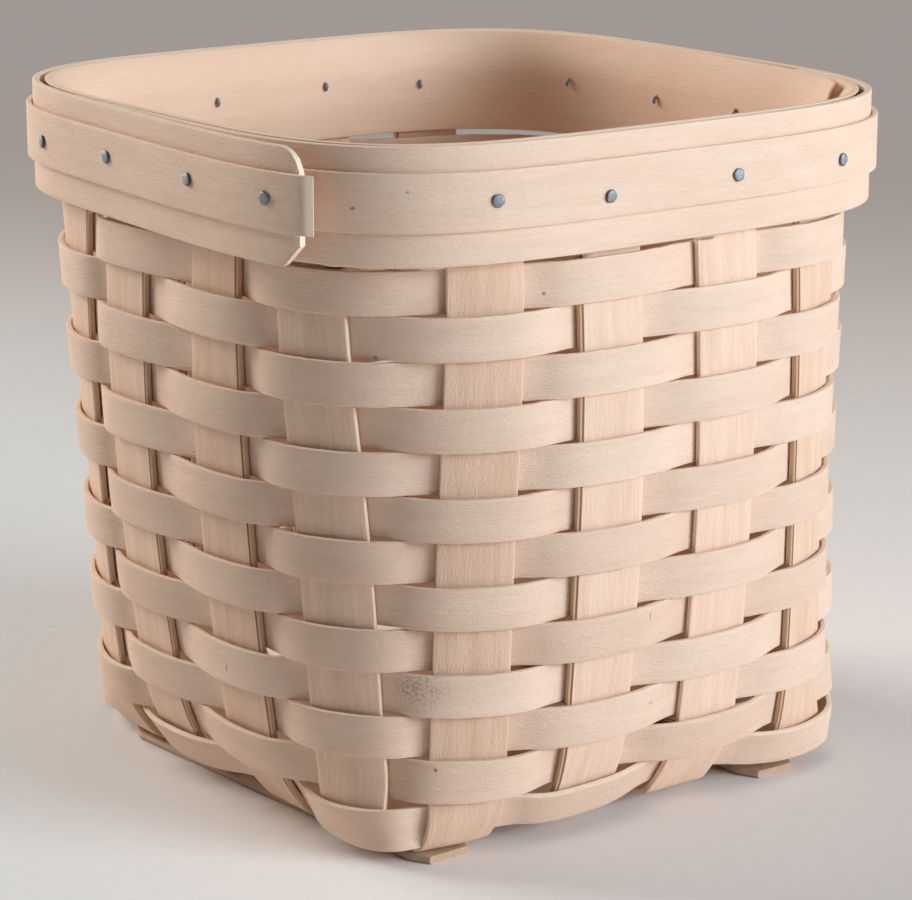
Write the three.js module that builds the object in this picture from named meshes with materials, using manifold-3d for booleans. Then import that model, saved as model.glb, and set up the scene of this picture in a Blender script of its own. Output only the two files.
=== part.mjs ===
import * as THREE from 'three';
import Module from 'manifold-3d';

const wasm = await Module();
wasm.setup();

// Tissue basket woven from flat wooden splints. Millimetres, +Z up, origin on the ground under the rim's centre.
// The front wall faces -Y and the left wall -X.

// Splints
const splintThickness = 1.2;
const stakeWidth = 16.4;
const weaverPitch = 9.525;
const rowCount = 13;
const seatGap = 0.3;

// Rim strips
const rimHeight = 25.66;
const bandThickness = 1.6;
const bandHeight = 24.2;
const bandEdgeBevel = 0.7;
const trimThickness = 1.2;
const trimHeight = 12;
const trimAboveMiddle = 1;
const hoopHeight = 8.6;
const hoopBelowBand = 0.5;
const stakeTopBelowBand = 7.6;
const rimCrackWidth = 1;

// Wall: half its width across the middle of a side, and how square its corners are, at rim, middle and base
const wallHalf = { rim: 75.5, middle: 77.6, base: 70.8 };
const wallSquareness = { rim: 3.6, middle: 2.65, base: 3.7 };
const bandSquareness = 4.1;
const lean = { x: 2.9, y: -2.2 };

// Foot: the sides draw in above the ground while the corners stay out
const weaveLift = 4.2;
const foot = { height: 24, inset: 10, squareness: 10, cornerPower: 1.5 };
const bendRise = 2;

// Runners: two flat strips under the base from front to back, corners cut off; their ends and their middles at each end
// are shares of the half-width of the base
const runner = { thickness: 1.7, width: 15.3, cornerAcross: 2.4, cornerAlong: 4.6 };
const runnerShares = {
  left: { frontEnd: -0.918, backEnd: 0.62, frontMiddle: -0.674, backMiddle: -0.754 },
  right: { frontEnd: -0.951, backEnd: 0.62, frontMiddle: 0.6, backMiddle: 0.6 },
};

// Middles of the stakes from the rim's centre, as shares of the wall's half-width: at the rim, at the wall's foot
// and across the base
const frontStakeShares = [
  { rim: -0.583, foot: -0.65, base: -0.668 },
  { rim: -0.199, foot: -0.247, base: -0.247 },
  { rim: 0.225, foot: 0.191, base: 0.219 },
  { rim: 0.609, foot: 0.65, base: 0.692 },
];
const sideStakeShares = [
  { rim: 0.51, foot: 0.53, base: 0.607 },
  { rim: 0.179, foot: 0.12, base: 0.127 },
  { rim: -0.285, foot: -0.353, base: -0.311 },
  { rim: -0.642, foot: -0.735, base: -0.737 },
];

// Weave
const bulge = 0.35;
const lapInset = 2;
const lapStakes = { odd: [6, 8, 10], even: [7, 9, 5] };

// Laps of the rim strips: where the hidden end and the showing end lie along the wall, and the slope beside them
const outerLap = { hidden: -41, showing: -54.6, slopeLength: 36 };
const innerLap = { hidden: -33, showing: -55, slopeLength: 42 };
const bandEnd = { topCut: 5.5, bottomCut: 4.5 };
const trimEndPastBand = 1.2;

// Tacks: head, shank and bent tip
const tack = { headRadius: 1.5, headHeight: 0.8, shankRadius: 0.45, tipReach: 0.7, tipLength: 1.8, sides: 6 };

// How far each tack stands from the middle of its stake, anticlockwise, and above the middle of the band
const tackShift = {
  front: [[0, 1], [-3.8, -0.6], [-1.8, 0.3], [-0.7, 0]],
  right: [[1, 0.3], [5, 1], [0.5, 0.4], [6, 1.6]],
  back: [[2, 0.4], [0, 1.6], [-0.7, 0.5], [0.5, 0]],
  left: [[-3.5, 0.6], [0.9, 0.9], [-1.3, 0.7], [-3.2, 1.6]],
};

// Worked-out places of the stakes
const placeStake = ({ rim, foot: atFoot, base }) => ({
  rim: rim * wallHalf.rim,
  foot: atFoot * wallHalf.base,
  base: base * wallHalf.base,
});
const frontStakes = frontStakeShares.map(placeStake);
const sideStakes = sideStakeShares.map(placeStake);

// Worked-out heights
const weaverHeight = weaverPitch - seatGap;
const weaveHeight = weaverPitch * rowCount;
const rimBottom = weaveLift + weaveHeight;
const bandTop = rimBottom + rimHeight;
const bandBottom = bandTop - bandHeight;
const bandMiddle = bandBottom + bandHeight / 2;
const trimBottom = bandMiddle + trimAboveMiddle - trimHeight / 2;
const hoopBottom = bandBottom - hoopBelowBand;
const baseStep = (splintThickness + seatGap) / 2;
const baseLift = runner.thickness + seatGap;
const baseMiddle = baseLift + baseStep + splintThickness / 2;

// Worked-out distances outwards from the middle of the stakes' thickness
const weaveStep = splintThickness + seatGap;
const outerOffset = splintThickness * 1.5 + 2 * seatGap + bandThickness / 2;
const trimOffset = outerOffset + bandThickness / 2 + seatGap + trimThickness / 2;
const innerOffset = -(splintThickness / 2 + seatGap + bandThickness / 2);
const innerTopOffset = outerOffset - bandThickness - rimCrackWidth;
const outerLift = bandThickness + trimThickness + 2 * seatGap;
const innerLift = -(bandThickness + seatGap);

const wood = new THREE.MeshStandardMaterial({ color: 0xe3c6ad, roughness: 0.75 });
const rimWood = new THREE.MeshStandardMaterial({ color: 0xe8cfba, roughness: 0.75 });
const steel = new THREE.MeshStandardMaterial({ color: 0x8d97a1, roughness: 0.4, metalness: 1 });

const { lerp, clamp, smoothstep } = THREE.MathUtils;
const fullTurn = 2 * Math.PI;
const upwards = new THREE.Vector3(0, 0, 1);
const downwards = new THREE.Vector3(0, 0, -1);

const group = new THREE.Group();
group.name = 'tissue_basket';

// Share of the way down the woven wall, 0 at the rim and 1 at its lower edge
function wayDown(z) {
  return clamp((rimBottom - z) / weaveHeight, 0, 1);
}

// Value of a quantity given at the rim, half way down and at the base
function downTheWall(values, z) {
  const t = wayDown(z);
  const atRim = values.rim * (1 - t) * (1 - 2 * t);
  const atMiddle = values.middle * 4 * t * (1 - t);
  const atBase = values.base * t * (2 * t - 1);
  return atRim + atMiddle + atBase;
}

// Plan of the wall at a height: a rounded square whose centre leans a little towards the base
function wallPlan(z) {
  const drawn = Math.max(0, 1 - z / foot.height) ** 2;
  return {
    half: downTheWall(wallHalf, z) - foot.inset * drawn,
    squareness: downTheWall(wallSquareness, z) + foot.squareness * drawn ** foot.cornerPower,
    x: lean.x * wayDown(z),
    y: lean.y * wayDown(z),
  };
}

const rimPlan = wallPlan(bandTop);
const outerPlan = { ...rimPlan, squareness: bandSquareness };

function planNormal(plan, angle) {
  const c = Math.cos(angle);
  const s = Math.sin(angle);
  const power = plan.squareness - 1;
  const x = Math.sign(c) * Math.abs(c) ** power;
  const y = Math.sign(s) * Math.abs(s) ** power;
  return new THREE.Vector3(x, y, 0).normalize();
}

// Point of a plan in the direction of an angle, moved outwards, at a height
function planPoint(plan, angle, offset, z) {
  const c = Math.cos(angle);
  const s = Math.sin(angle);
  const n = plan.squareness;
  const radius = plan.half / (Math.abs(c) ** n + Math.abs(s) ** n) ** (1 / n);
  const point = new THREE.Vector3(plan.x + radius * c, plan.y + radius * s, z);
  return point.addScaledVector(planNormal(plan, angle), offset);
}

function planSpeed(plan, angle) {
  const step = 1e-3;
  const before = planPoint(plan, angle - step, 0, 0);
  const after = planPoint(plan, angle + step, 0, 0);
  return before.distanceTo(after) / (2 * step);
}

// Angle reached by going a distance along a plan
function stepAlong(plan, angle, distance) {
  const half = angle + distance / (2 * planSpeed(plan, angle));
  return angle + distance / planSpeed(plan, half);
}

// Angle of a place on a wall: walls are 0 front, 1 right, 2 back, 3 left
function wallAngle(plan, wall, along) {
  const across = along - (wall % 2 === 0 ? plan.x : plan.y);
  const share = Math.min(Math.abs(across / plan.half), 0.99);
  const depth = plan.half * (1 - share ** plan.squareness) ** (1 / plan.squareness);
  const places = [[across, -depth], [depth, across], [across, depth], [-depth, across]];
  return Math.atan2(places[wall][1], places[wall][0]);
}

// Point on the middle of the stakes' thickness
function wallPoint(angle, z) {
  return planPoint(wallPlan(z), angle, 0, z);
}

// Outward direction of the wall, tipped down where the sides draw in
function wallNormal(angle, z) {
  const step = 0.2;
  const slope = wallPoint(angle, z + step).sub(wallPoint(angle, z - step));
  const flat = planNormal(wallPlan(z), angle);
  const along = new THREE.Vector3().crossVectors(upwards, flat);
  return along.cross(slope).normalize();
}

// Height reached by going a distance down the wall from the rim's lower edge
function heightDown(angle, distance) {
  const steps = 40;
  const drop = 0.5;
  let z = rimBottom;
  for (let i = 0; i < steps; i += 1) {
    const length = wallPoint(angle, z).distanceTo(wallPoint(angle, z - drop));
    z -= (distance / steps) * (drop / length);
  }
  return z;
}

// Stake ends in order round the basket, anticlockwise from the front wall's left end
const stakeEnds = [
  ...frontStakes.map((stake, i) => ({ wall: 0, stake, shift: tackShift.front[i] })),
  ...[...sideStakes].reverse().map((stake, i) => ({ wall: 1, stake, shift: tackShift.right[i] })),
  ...[...frontStakes].reverse().map((stake, i) => ({ wall: 2, stake, shift: tackShift.back[i] })),
  ...sideStakes.map((stake, i) => ({ wall: 3, stake, shift: tackShift.left[i] })),
];
const endsPerWall = frontStakes.length;

// Angles of both edges and the middle of a stake where it passes a height of the wall
function stakeAngles(end, z) {
  const plan = wallPlan(z);
  const middle = wallAngle(plan, end.wall, lerp(end.stake.rim, end.stake.foot, wayDown(z)));
  const first = stepAlong(plan, middle, -stakeWidth / 2);
  const last = stepAlong(plan, middle, stakeWidth / 2);
  return { first, middle, last };
}

// Angles of all stake ends at a height, rising round the basket, with the shares of the gap after each
function roundTheStakes(z) {
  const places = stakeEnds.map((end) => stakeAngles(end, z));
  places.slice(1).forEach((place, i) => {
    const turn = place.middle < places[i].middle ? fullTurn : 0;
    place.first += turn;
    place.middle += turn;
    place.last += turn;
  });
  places.forEach((place, i) => {
    const next = i + 1 < places.length ? places[i + 1].first : places[0].first + fullTurn;
    const atCorner = (i + 1) % endsPerWall === 0;
    const shares = atCorner ? [1 / 3, 2 / 3] : [1 / 2];
    place.gap = shares.map((share) => ({ share, angle: lerp(place.last, next, share) }));
  });
  return places;
}

// Indexed geometry turned so that its faces point outwards
function closedGeometry(positions, triangles) {
  let volume = 0;
  const corner = (i) => new THREE.Vector3().fromArray(positions, 3 * triangles[i]);
  for (let i = 0; i < triangles.length; i += 3) {
    volume += corner(i).dot(corner(i + 1).cross(corner(i + 2)));
  }
  const turned = [];
  for (let i = 0; i < triangles.length; i += 3) {
    const [a, b, c] = triangles.slice(i, i + 3);
    turned.push(a, ...(volume < 0 ? [c, b] : [b, c]));
  }
  const geometry = new THREE.BufferGeometry();
  geometry.setAttribute('position', new THREE.Float32BufferAttribute(positions, 3));
  geometry.setIndex(turned);
  return geometry;
}

// Triangles between neighbouring rings of points; each patch is split so that it bows away from the basket's axis
function ringTriangles(positions, ringCount, ringSize) {
  const triangles = [];
  const span = (i, j) => Math.hypot(positions[3 * i] + positions[3 * j], positions[3 * i + 1] + positions[3 * j + 1]);
  for (let i = 0; i + 1 < ringCount; i += 1) {
    for (let j = 0; j < ringSize; j += 1) {
      const a = i * ringSize + j;
      const b = i * ringSize + ((j + 1) % ringSize);
      const c = b + ringSize;
      const d = a + ringSize;
      const corners = span(a, c) > span(b, d) ? [a, b, c, a, c, d] : [a, b, d, b, c, d];
      triangles.push(...corners);
    }
  }
  return triangles;
}

// A strip from its cross-sections, each given by matching points of its outer and inner face
function stripGeometry(sections) {
  const positions = [];
  const columns = sections[0].outer.length;
  const ringSize = columns * 2;
  sections.forEach(({ outer, inner }) => {
    [...outer, ...[...inner].reverse()].forEach((p) => positions.push(p.x, p.y, p.z));
  });
  const triangles = ringTriangles(positions, sections.length, ringSize);
  const end = (sections.length - 1) * ringSize;
  for (let j = 0; j + 1 < columns; j += 1) {
    const k = ringSize - 1 - j;
    triangles.push(j, k, j + 1, j + 1, k, k - 1);
    triangles.push(end + j, end + j + 1, end + k, end + j + 1, end + k - 1, end + k);
  }
  return closedGeometry(positions, triangles);
}

// A body with many-sided sections of changing radius; each ring lies across its own two directions
function spindleGeometry(rings, sides) {
  const positions = [];
  rings.forEach(({ centre, radius, side, across }) => {
    for (let k = 0; k < sides; k += 1) {
      const turn = (fullTurn * k) / sides;
      const point = centre.clone().addScaledVector(side, Math.cos(turn) * radius);
      point.addScaledVector(across, Math.sin(turn) * radius);
      positions.push(point.x, point.y, point.z);
    }
  });
  const triangles = ringTriangles(positions, rings.length, sides);
  const end = (rings.length - 1) * sides;
  for (let k = 1; k + 1 < sides; k += 1) {
    triangles.push(0, k + 1, k);
    triangles.push(end, end + k, end + k + 1);
  }
  return closedGeometry(positions, triangles);
}

function toSolid(geometry) {
  return new wasm.Manifold(new wasm.Mesh({
    numProp: 3,
    vertProperties: Float32Array.from(geometry.getAttribute('position').array),
    triVerts: Uint32Array.from(geometry.getIndex().array),
  }));
}

function fromSolid(solid) {
  const mesh = solid.getMesh();
  const geometry = new THREE.BufferGeometry();
  geometry.setAttribute('position', new THREE.Float32BufferAttribute(Array.from(mesh.vertProperties), 3));
  geometry.setIndex(Array.from(mesh.triVerts));
  return geometry;
}

function addPiece(name, geometry, material) {
  const flat = geometry.toNonIndexed();
  flat.computeVertexNormals();
  const mesh = new THREE.Mesh(flat, material);
  mesh.name = name;
  group.add(mesh);
}

// Angles of the rim strips' ends and of the slopes between their single and doubled lengths
const rimPlaces = roundTheStakes(bandTop);
const lapClearance = 1 + 2 * seatGap;
const outerHidden = wallAngle(outerPlan, 3, outerLap.hidden) + fullTurn;
const outerShowing = wallAngle(outerPlan, 3, outerLap.showing) + fullTurn;
const outerSlopeEnd = stepAlong(outerPlan, outerHidden, -lapClearance);
const outerSlopeStart = stepAlong(outerPlan, outerSlopeEnd, -outerLap.slopeLength);
const innerShowing = wallAngle(rimPlan, 1, innerLap.showing);
const innerHidden = wallAngle(rimPlan, 1, innerLap.hidden);
const innerSlopeStart = stepAlong(rimPlan, innerHidden, lapClearance);
const innerSlopeEnd = stepAlong(rimPlan, innerSlopeStart, innerLap.slopeLength);

// How far the outer strips stand off over their hidden ends
function outerRise(angle) {
  return outerLift * smoothstep(angle, outerSlopeStart, outerSlopeEnd);
}

// How far the inner band stands in over its hidden end
function innerRise(angle) {
  return innerLift * (1 - smoothstep(angle, innerSlopeStart, innerSlopeEnd));
}

// Place of each tack on the trim, its direction, and its length down to the inside of the rim
const tackPlaces = stakeEnds.map((end, i) => {
  const [along, above] = end.shift;
  const angle = stepAlong(rimPlan, rimPlaces[i].middle, along);
  const z = bandMiddle + above;
  const outwards = planNormal(outerPlan, angle);
  const seat = trimOffset + trimThickness / 2 + seatGap + outerRise(angle);
  const doubled = angle > innerShowing ? innerRise(angle) : 0;
  const inside = innerOffset - bandThickness / 2 - seatGap + doubled;
  const onTrim = planPoint(outerPlan, angle, seat, z);
  const onInner = planPoint(rimPlan, angle, inside, z);
  const side = new THREE.Vector3().crossVectors(upwards, outwards);
  return { onTrim, outwards, side, reach: onTrim.clone().sub(onInner).dot(outwards) };
});

// A tack: domed head on the trim, shank through the rim, tip bent down inside
function tackGeometry({ onTrim, outwards, side, reach }) {
  const inwards = outwards.clone().negate();
  const bent = upwards.clone().add(inwards).normalize();
  const ring = (out, drop, radius, across) => ({
    centre: onTrim.clone().addScaledVector(outwards, out).addScaledVector(downwards, drop),
    radius,
    side,
    across,
  });
  const { headRadius, headHeight, shankRadius, tipReach, tipLength } = tack;
  return spindleGeometry([
    ring(headHeight, 0, headRadius * 0.6, upwards),
    ring(0, 0, headRadius, upwards),
    ring(0, 0, shankRadius, upwards),
    ring(-reach, 0, shankRadius, upwards),
    ring(-reach - tipReach, shankRadius, shankRadius, bent),
    ring(-reach - tipReach, tipLength, shankRadius * 0.3, inwards),
  ], tack.sides);
}

// Hole for a tack's shank through everything under its head
const tackHoles = tackPlaces.map(({ onTrim, outwards, side, reach }) => {
  const radius = (tack.shankRadius + seatGap) / Math.cos(Math.PI / tack.sides);
  const beyond = splintThickness;
  return toSolid(spindleGeometry([beyond, -reach - beyond].map((out) => ({
    centre: onTrim.clone().addScaledVector(outwards, out),
    radius,
    side,
    across: upwards,
  })), tack.sides));
});

function drilled(geometry, holes) {
  return fromSolid(holes.reduce((left, hole) => left.subtract(hole), toSolid(geometry)));
}

// Stations of a weaver's edge: over one stake, behind the next, and at the end doubled behind the stake it began at
function weaverStations(row, z) {
  const plan = wallPlan(z);
  const places = roundTheStakes(z);
  const choices = row % 2 === 1 ? lapStakes.odd : lapStakes.even;
  const lap = choices[Math.floor(row / 2) % choices.length];
  const level = (k) => ((k + row) % 2 === 0 ? 1 : -1);
  const doubled = -2;
  const stations = [];
  for (let i = 0; i <= places.length; i += 1) {
    const k = (lap + i) % places.length;
    const turn = lap + i >= places.length ? fullTurn : 0;
    const place = places[k];
    const ends = i === places.length;
    const here = ends ? doubled : level(k);
    const next = i + 1 === places.length ? doubled : level(k + 1);
    const first = i === 0 ? stepAlong(plan, place.first, lapInset) : place.first;
    const last = ends ? stepAlong(plan, place.last, -lapInset) : place.last;
    stations.push({ angle: first + turn, offset: here * weaveStep });
    if (here > 0) {
      stations.push({ angle: place.middle + turn, offset: here * weaveStep + bulge });
    }
    stations.push({ angle: last + turn, offset: here * weaveStep });
    const gap = ends ? [] : place.gap;
    gap.forEach(({ angle, share }) => {
      stations.push({ angle: angle + turn, offset: lerp(here, next, smoothstep(share, 0, 1)) * weaveStep });
    });
  }
  return stations;
}

function weaverGeometry(row) {
  const top = (row - 1) * weaverPitch + seatGap / 2;
  const edges = [top + weaverHeight, top].map((distance) => (
    weaverStations(row, rimBottom - distance).map(({ angle, offset }) => {
      const z = heightDown(angle, distance);
      const point = wallPoint(angle, z);
      const normal = wallNormal(angle, z);
      return [1, -1].map((face) => point.clone().addScaledVector(normal, offset + face * splintThickness / 2));
    })
  ));
  return stripGeometry(edges[0].map((low, i) => ({
    outer: [low[0], edges[1][i][0]],
    inner: [low[1], edges[1][i][1]],
  })));
}

// Height of a stake's middle in the base where it crosses a stake of the other set
function crossingHeight(frontIndex, sideIndex, isFront) {
  const sideIsUnder = (frontIndex + sideIndex) % 2 === 0;
  return baseMiddle + (sideIsUnder === isFront ? baseStep : -baseStep);
}

// A stake goes up one wall, bends under the base, passes over and under the others and goes up the far wall
function stakeGeometry(index, isFront) {
  const stake = isFront ? frontStakes[index] : sideStakes[index];
  const others = isFront ? sideStakes : frontStakes;
  const walls = isFront ? [0, 2] : [3, 1];
  const sides = [-1, 0, 1];
  const crossings = others.map((other, j) => ({
    along: other.base,
    height: isFront ? crossingHeight(index, j, true) : crossingHeight(j, index, false),
  })).sort((a, b) => a.along - b.along);
  const toWorld = (along, across, z) => (
    isFront ? new THREE.Vector3(across, along, z) : new THREE.Vector3(along, across, z)
  );
  const section = (columns) => ({
    outer: columns.map(({ point, normal }) => point.clone().addScaledVector(normal, splintThickness / 2)),
    inner: columns.map(({ point, normal }) => point.clone().addScaledVector(normal, -splintThickness / 2)),
  });

  // Angles across a wall in the order of the base's columns
  const wallAngles = (wall, z) => {
    const { first, middle, last } = stakeAngles({ wall, stake }, z);
    return wall < 2 ? [first, middle, last] : [last, middle, first];
  };
  const onWall = (angle, z) => ({ point: wallPoint(angle, z), normal: wallNormal(angle, z) });

  // Sections of one end, from its top down the wall and round the bend into the base
  const endSections = (wall, baseHeight, inwards) => {
    const top = bandTop - stakeTopBelowBand;
    const list = [wallAngles(wall, top).map((angle) => onWall(angle, top))];
    for (let row = 0; row <= rowCount; row += row + 3 < rowCount ? 2 : 1) {
      const distance = row * weaverPitch;
      const angles = wallAngles(wall, rimBottom - distance);
      list.push(angles.map((angle) => onWall(angle, heightDown(angle, distance))));
    }
    const bendTop = baseHeight + bendRise;
    const begin = wallAngles(wall, bendTop).map((angle) => onWall(angle, bendTop));
    [0, 0.5, 1].forEach((share) => {
      list.push(begin.map(({ point, normal }, j) => {
        const from = isFront ? point.y : point.x;
        const across = isFront ? point.x : point.y;
        const flatAcross = stake.base + sides[j] * stakeWidth / 2;
        const drop = bendRise / Math.max(normal.dot(normal.clone().setZ(0)), 0.5);
        const slope = -normal.z / Math.hypot(normal.x, normal.y);
        const knee = from + inwards * bendRise * slope;
        const flat = knee + inwards * drop;
        const along = (1 - share) ** 2 * from + 2 * share * (1 - share) * knee + share ** 2 * flat;
        const z = baseHeight + (1 - share) ** 2 * bendRise;
        const turned = normal.clone().multiplyScalar(1 - share).addScaledVector(downwards, share).normalize();
        return { point: toWorld(along, lerp(across, flatAcross, share), z), normal: turned };
      }));
    });
    return list;
  };

  // Flat lengths of the base between one crossing and the next
  const clear = stakeWidth / 2 + 2 * seatGap;
  const flatSections = crossings.slice(1).flatMap((next, j) => [
    { along: crossings[j].along + clear, height: crossings[j].height },
    { along: next.along - clear, height: next.height },
  ]).map(({ along, height }) => sides.map((side) => ({
    point: toWorld(along, stake.base + side * stakeWidth / 2, height),
    normal: downwards,
  })));

  const near = endSections(walls[0], crossings[0].height, 1);
  const far = endSections(walls[1], crossings[crossings.length - 1].height, -1).reverse();
  return stripGeometry([...near, ...flatSections, ...far].map(section));
}

// Angles where the rim strips have a section, from one angle to another
function rimAngles(start, end, extra, atMiddles = false) {
  const own = rimPlaces.flatMap(({ first, middle, last, gap }) => [
    first,
    ...(atMiddles ? [middle] : []),
    last,
    ...(gap.length > 1 ? gap.map(({ angle }) => angle) : []),
  ]);
  const all = [-fullTurn, 0, fullTurn].flatMap((turn) => own.map((angle) => angle + turn));
  const least = 0.006;
  const inside = [...all, ...extra].filter((angle) => angle > start + least && angle < end - least);
  inside.sort((a, b) => a - b);
  const spaced = inside.filter((angle, i) => i === 0 || angle - inside[i - 1] > least);
  return [start, ...spaced, end];
}

// A rim strip: how far out, how low and how high it lies at each angle; its top edge may be bevelled or lean out
function rimStrip({ plan, thickness, offset, angles, rise, bottom, top, bevel = 0, bend = null }) {
  return stripGeometry(angles.map((angle) => {
    const outside = offset + rise(angle) + thickness / 2;
    const inside = offset + rise(angle) - thickness / 2;
    const low = bottom(angle);
    const high = top(angle);
    if (bend) {
      const lean = bend.offset - offset;
      const face = (out) => [
        planPoint(plan, angle, out, low),
        planPoint(plan, angle, out, bend.height),
        planPoint(bend.plan, angle, out + lean, high),
      ];
      return { outer: face(outside), inner: face(inside) };
    }
    const heights = bevel > 0 ? [low, high - bevel, high] : [low, high];
    return {
      outer: heights.map((z, i) => planPoint(plan, angle, outside - (i === 2 ? bevel : 0), z)),
      inner: heights.map((z) => planPoint(plan, angle, inside, z)),
    };
  }));
}

// Angles on both ends of a slope and between
function slopeAngles(start, end) {
  return [0, 0.5, 1].map((share) => lerp(start, end, share));
}

// Sections of the outer strips up to an end, close together on the slope and at the band's rounded end
function outerAngles(end) {
  const cuts = [0, 0.3, 0.65, 1].map((share) => stepAlong(outerPlan, outerShowing, -share * bandEnd.topCut));
  return rimAngles(outerHidden - fullTurn, end, [...cuts, ...slopeAngles(outerSlopeStart, outerSlopeEnd)]);
}

// Outer band: its showing end is rounded off above and cut away below
function outerBandGeometry() {
  const fromEnd = (angle) => Math.max(0, (outerShowing - angle) * planSpeed(outerPlan, outerShowing));
  return rimStrip({
    plan: outerPlan,
    angles: outerAngles(outerShowing),
    top: (angle) => {
      const share = clamp(1 - fromEnd(angle) / bandEnd.topCut, 0, 0.99);
      return bandTop - bandEnd.topCut * (1 - Math.sqrt(1 - share * share));
    },
    bottom: (angle) => bandBottom + Math.max(0, bandEnd.bottomCut - fromEnd(angle)),
    thickness: bandThickness,
    offset: outerOffset,
    rise: outerRise,
    bevel: bandEdgeBevel,
  });
}

function trimGeometry() {
  return rimStrip({
    plan: outerPlan,
    angles: outerAngles(stepAlong(outerPlan, outerShowing, trimEndPastBand)),
    top: () => trimBottom + trimHeight,
    bottom: () => trimBottom,
    thickness: trimThickness,
    offset: trimOffset,
    rise: outerRise,
  });
}

// Inner band: above the stakes it leans out to the outer band
function innerBandGeometry() {
  return rimStrip({
    plan: rimPlan,
    angles: rimAngles(innerShowing, innerHidden + fullTurn, slopeAngles(innerSlopeStart, innerSlopeEnd)),
    top: () => bandTop,
    bottom: () => bandBottom,
    thickness: bandThickness,
    offset: innerOffset,
    rise: innerRise,
    bend: { height: bandTop - stakeTopBelowBand, plan: outerPlan, offset: innerTopOffset },
  });
}

// Hoop between the stakes and the outer band, its ends butted at the back
function hoopGeometry() {
  const joint = rimPlaces[2 * endsPerWall + 1].middle;
  return rimStrip({
    plan: rimPlan,
    angles: rimAngles(joint - fullTurn, stepAlong(rimPlan, joint, -2 * seatGap), [], true),
    top: () => hoopBottom + hoopHeight,
    bottom: () => hoopBottom,
    thickness: splintThickness,
    offset: weaveStep,
    rise: () => 0,
  });
}

// Runner under the base, wider behind its cut corners
function runnerGeometry({ frontEnd, backEnd, frontMiddle, backMiddle }) {
  const { thickness, width, cornerAcross, cornerAlong } = runner;
  const front = frontEnd * wallHalf.base;
  const back = backEnd * wallHalf.base;
  const stations = [
    { y: front, half: width / 2 - cornerAcross },
    { y: front + cornerAlong, half: width / 2 },
    { y: back - cornerAlong, half: width / 2 },
    { y: back, half: width / 2 - cornerAcross },
  ];
  return stripGeometry(stations.map(({ y, half }) => {
    const share = lerp(frontMiddle, backMiddle, (y - front) / (back - front));
    const corner = (side, z) => new THREE.Vector3(share * wallHalf.base + side * half, y, z);
    return {
      outer: [corner(-1, 0), corner(1, 0)],
      inner: [corner(-1, thickness), corner(1, thickness)],
    };
  }));
}

// Stakes, each drilled for the tacks at its two ends
stakeEnds.slice(0, endsPerWall).forEach(({ stake }, i) => {
  const holes = tackHoles.filter((hole, k) => stakeEnds[k].stake === stake);
  addPiece(`stake_front_${i + 1}`, drilled(stakeGeometry(i, true), holes), wood);
});
sideStakes.forEach((stake, i) => {
  const holes = tackHoles.filter((hole, k) => stakeEnds[k].stake === stake);
  addPiece(`stake_side_${i + 1}`, drilled(stakeGeometry(i, false), holes), wood);
});

// Runners
Object.entries(runnerShares).forEach(([side, share]) => {
  addPiece(`runner_${side}`, runnerGeometry(share), wood);
});

// Weavers, from the rim down
for (let row = 1; row <= rowCount; row += 1) {
  addPiece(`weaver_${String(row).padStart(2, '0')}`, weaverGeometry(row), wood);
}

// Rim
addPiece('weaver_rim', hoopGeometry(), wood);
addPiece('band_inner', drilled(innerBandGeometry(), tackHoles), rimWood);
addPiece('band_outer', drilled(outerBandGeometry(), tackHoles), rimWood);
addPiece('band_trim', drilled(trimGeometry(), tackHoles), rimWood);
tackPlaces.forEach((place, i) => {
  addPiece(`tack_${String(i + 1).padStart(2, '0')}`, tackGeometry(place), steel);
});

export default group;
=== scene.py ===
"""Tissue basket woven from flat wooden splints: its looks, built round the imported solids.

Sizes are in millimetres, as the maker measures them, and become metres when a mesh is made.
"""

import logging
import math
from dataclasses import dataclass, field, replace
from enum import IntEnum
from typing import Any, Callable, Mapping, Optional, Sequence, Union

import bmesh
import bpy
import numpy as np
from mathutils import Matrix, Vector


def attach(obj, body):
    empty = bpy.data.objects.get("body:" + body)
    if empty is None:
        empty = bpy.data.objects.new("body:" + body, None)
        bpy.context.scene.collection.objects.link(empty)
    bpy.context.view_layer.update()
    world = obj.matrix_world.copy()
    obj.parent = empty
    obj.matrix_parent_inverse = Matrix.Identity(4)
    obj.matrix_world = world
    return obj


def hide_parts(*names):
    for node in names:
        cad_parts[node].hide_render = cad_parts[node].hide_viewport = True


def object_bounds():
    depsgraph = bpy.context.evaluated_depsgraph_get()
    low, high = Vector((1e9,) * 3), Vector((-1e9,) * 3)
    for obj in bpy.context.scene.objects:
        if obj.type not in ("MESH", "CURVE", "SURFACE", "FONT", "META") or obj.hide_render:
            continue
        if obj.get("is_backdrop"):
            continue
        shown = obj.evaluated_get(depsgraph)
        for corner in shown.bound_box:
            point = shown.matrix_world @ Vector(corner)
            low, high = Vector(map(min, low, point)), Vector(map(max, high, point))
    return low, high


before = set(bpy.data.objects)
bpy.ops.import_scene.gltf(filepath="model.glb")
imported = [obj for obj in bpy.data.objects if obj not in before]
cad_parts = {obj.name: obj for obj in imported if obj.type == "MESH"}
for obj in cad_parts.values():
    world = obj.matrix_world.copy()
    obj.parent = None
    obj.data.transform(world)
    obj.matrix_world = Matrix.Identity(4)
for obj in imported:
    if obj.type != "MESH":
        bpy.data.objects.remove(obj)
CAD_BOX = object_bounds()

MM = 0.001
FULL_TURN = 2 * math.pi
# Points that a line is first cut into, before they are spaced evenly
FINE_STEPS = 4000
# Highest share that goes under a root, so that nothing shrinks to no depth at all
NEARLY_ALL = 0.99
# Metres of timber along which the splints' grain starts
TIMBER_LENGTH = 20.0
BODY = "root"
Colour = tuple[float, float, float, float]
Array = np.ndarray
log = logging.getLogger("tissue_basket")


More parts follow.
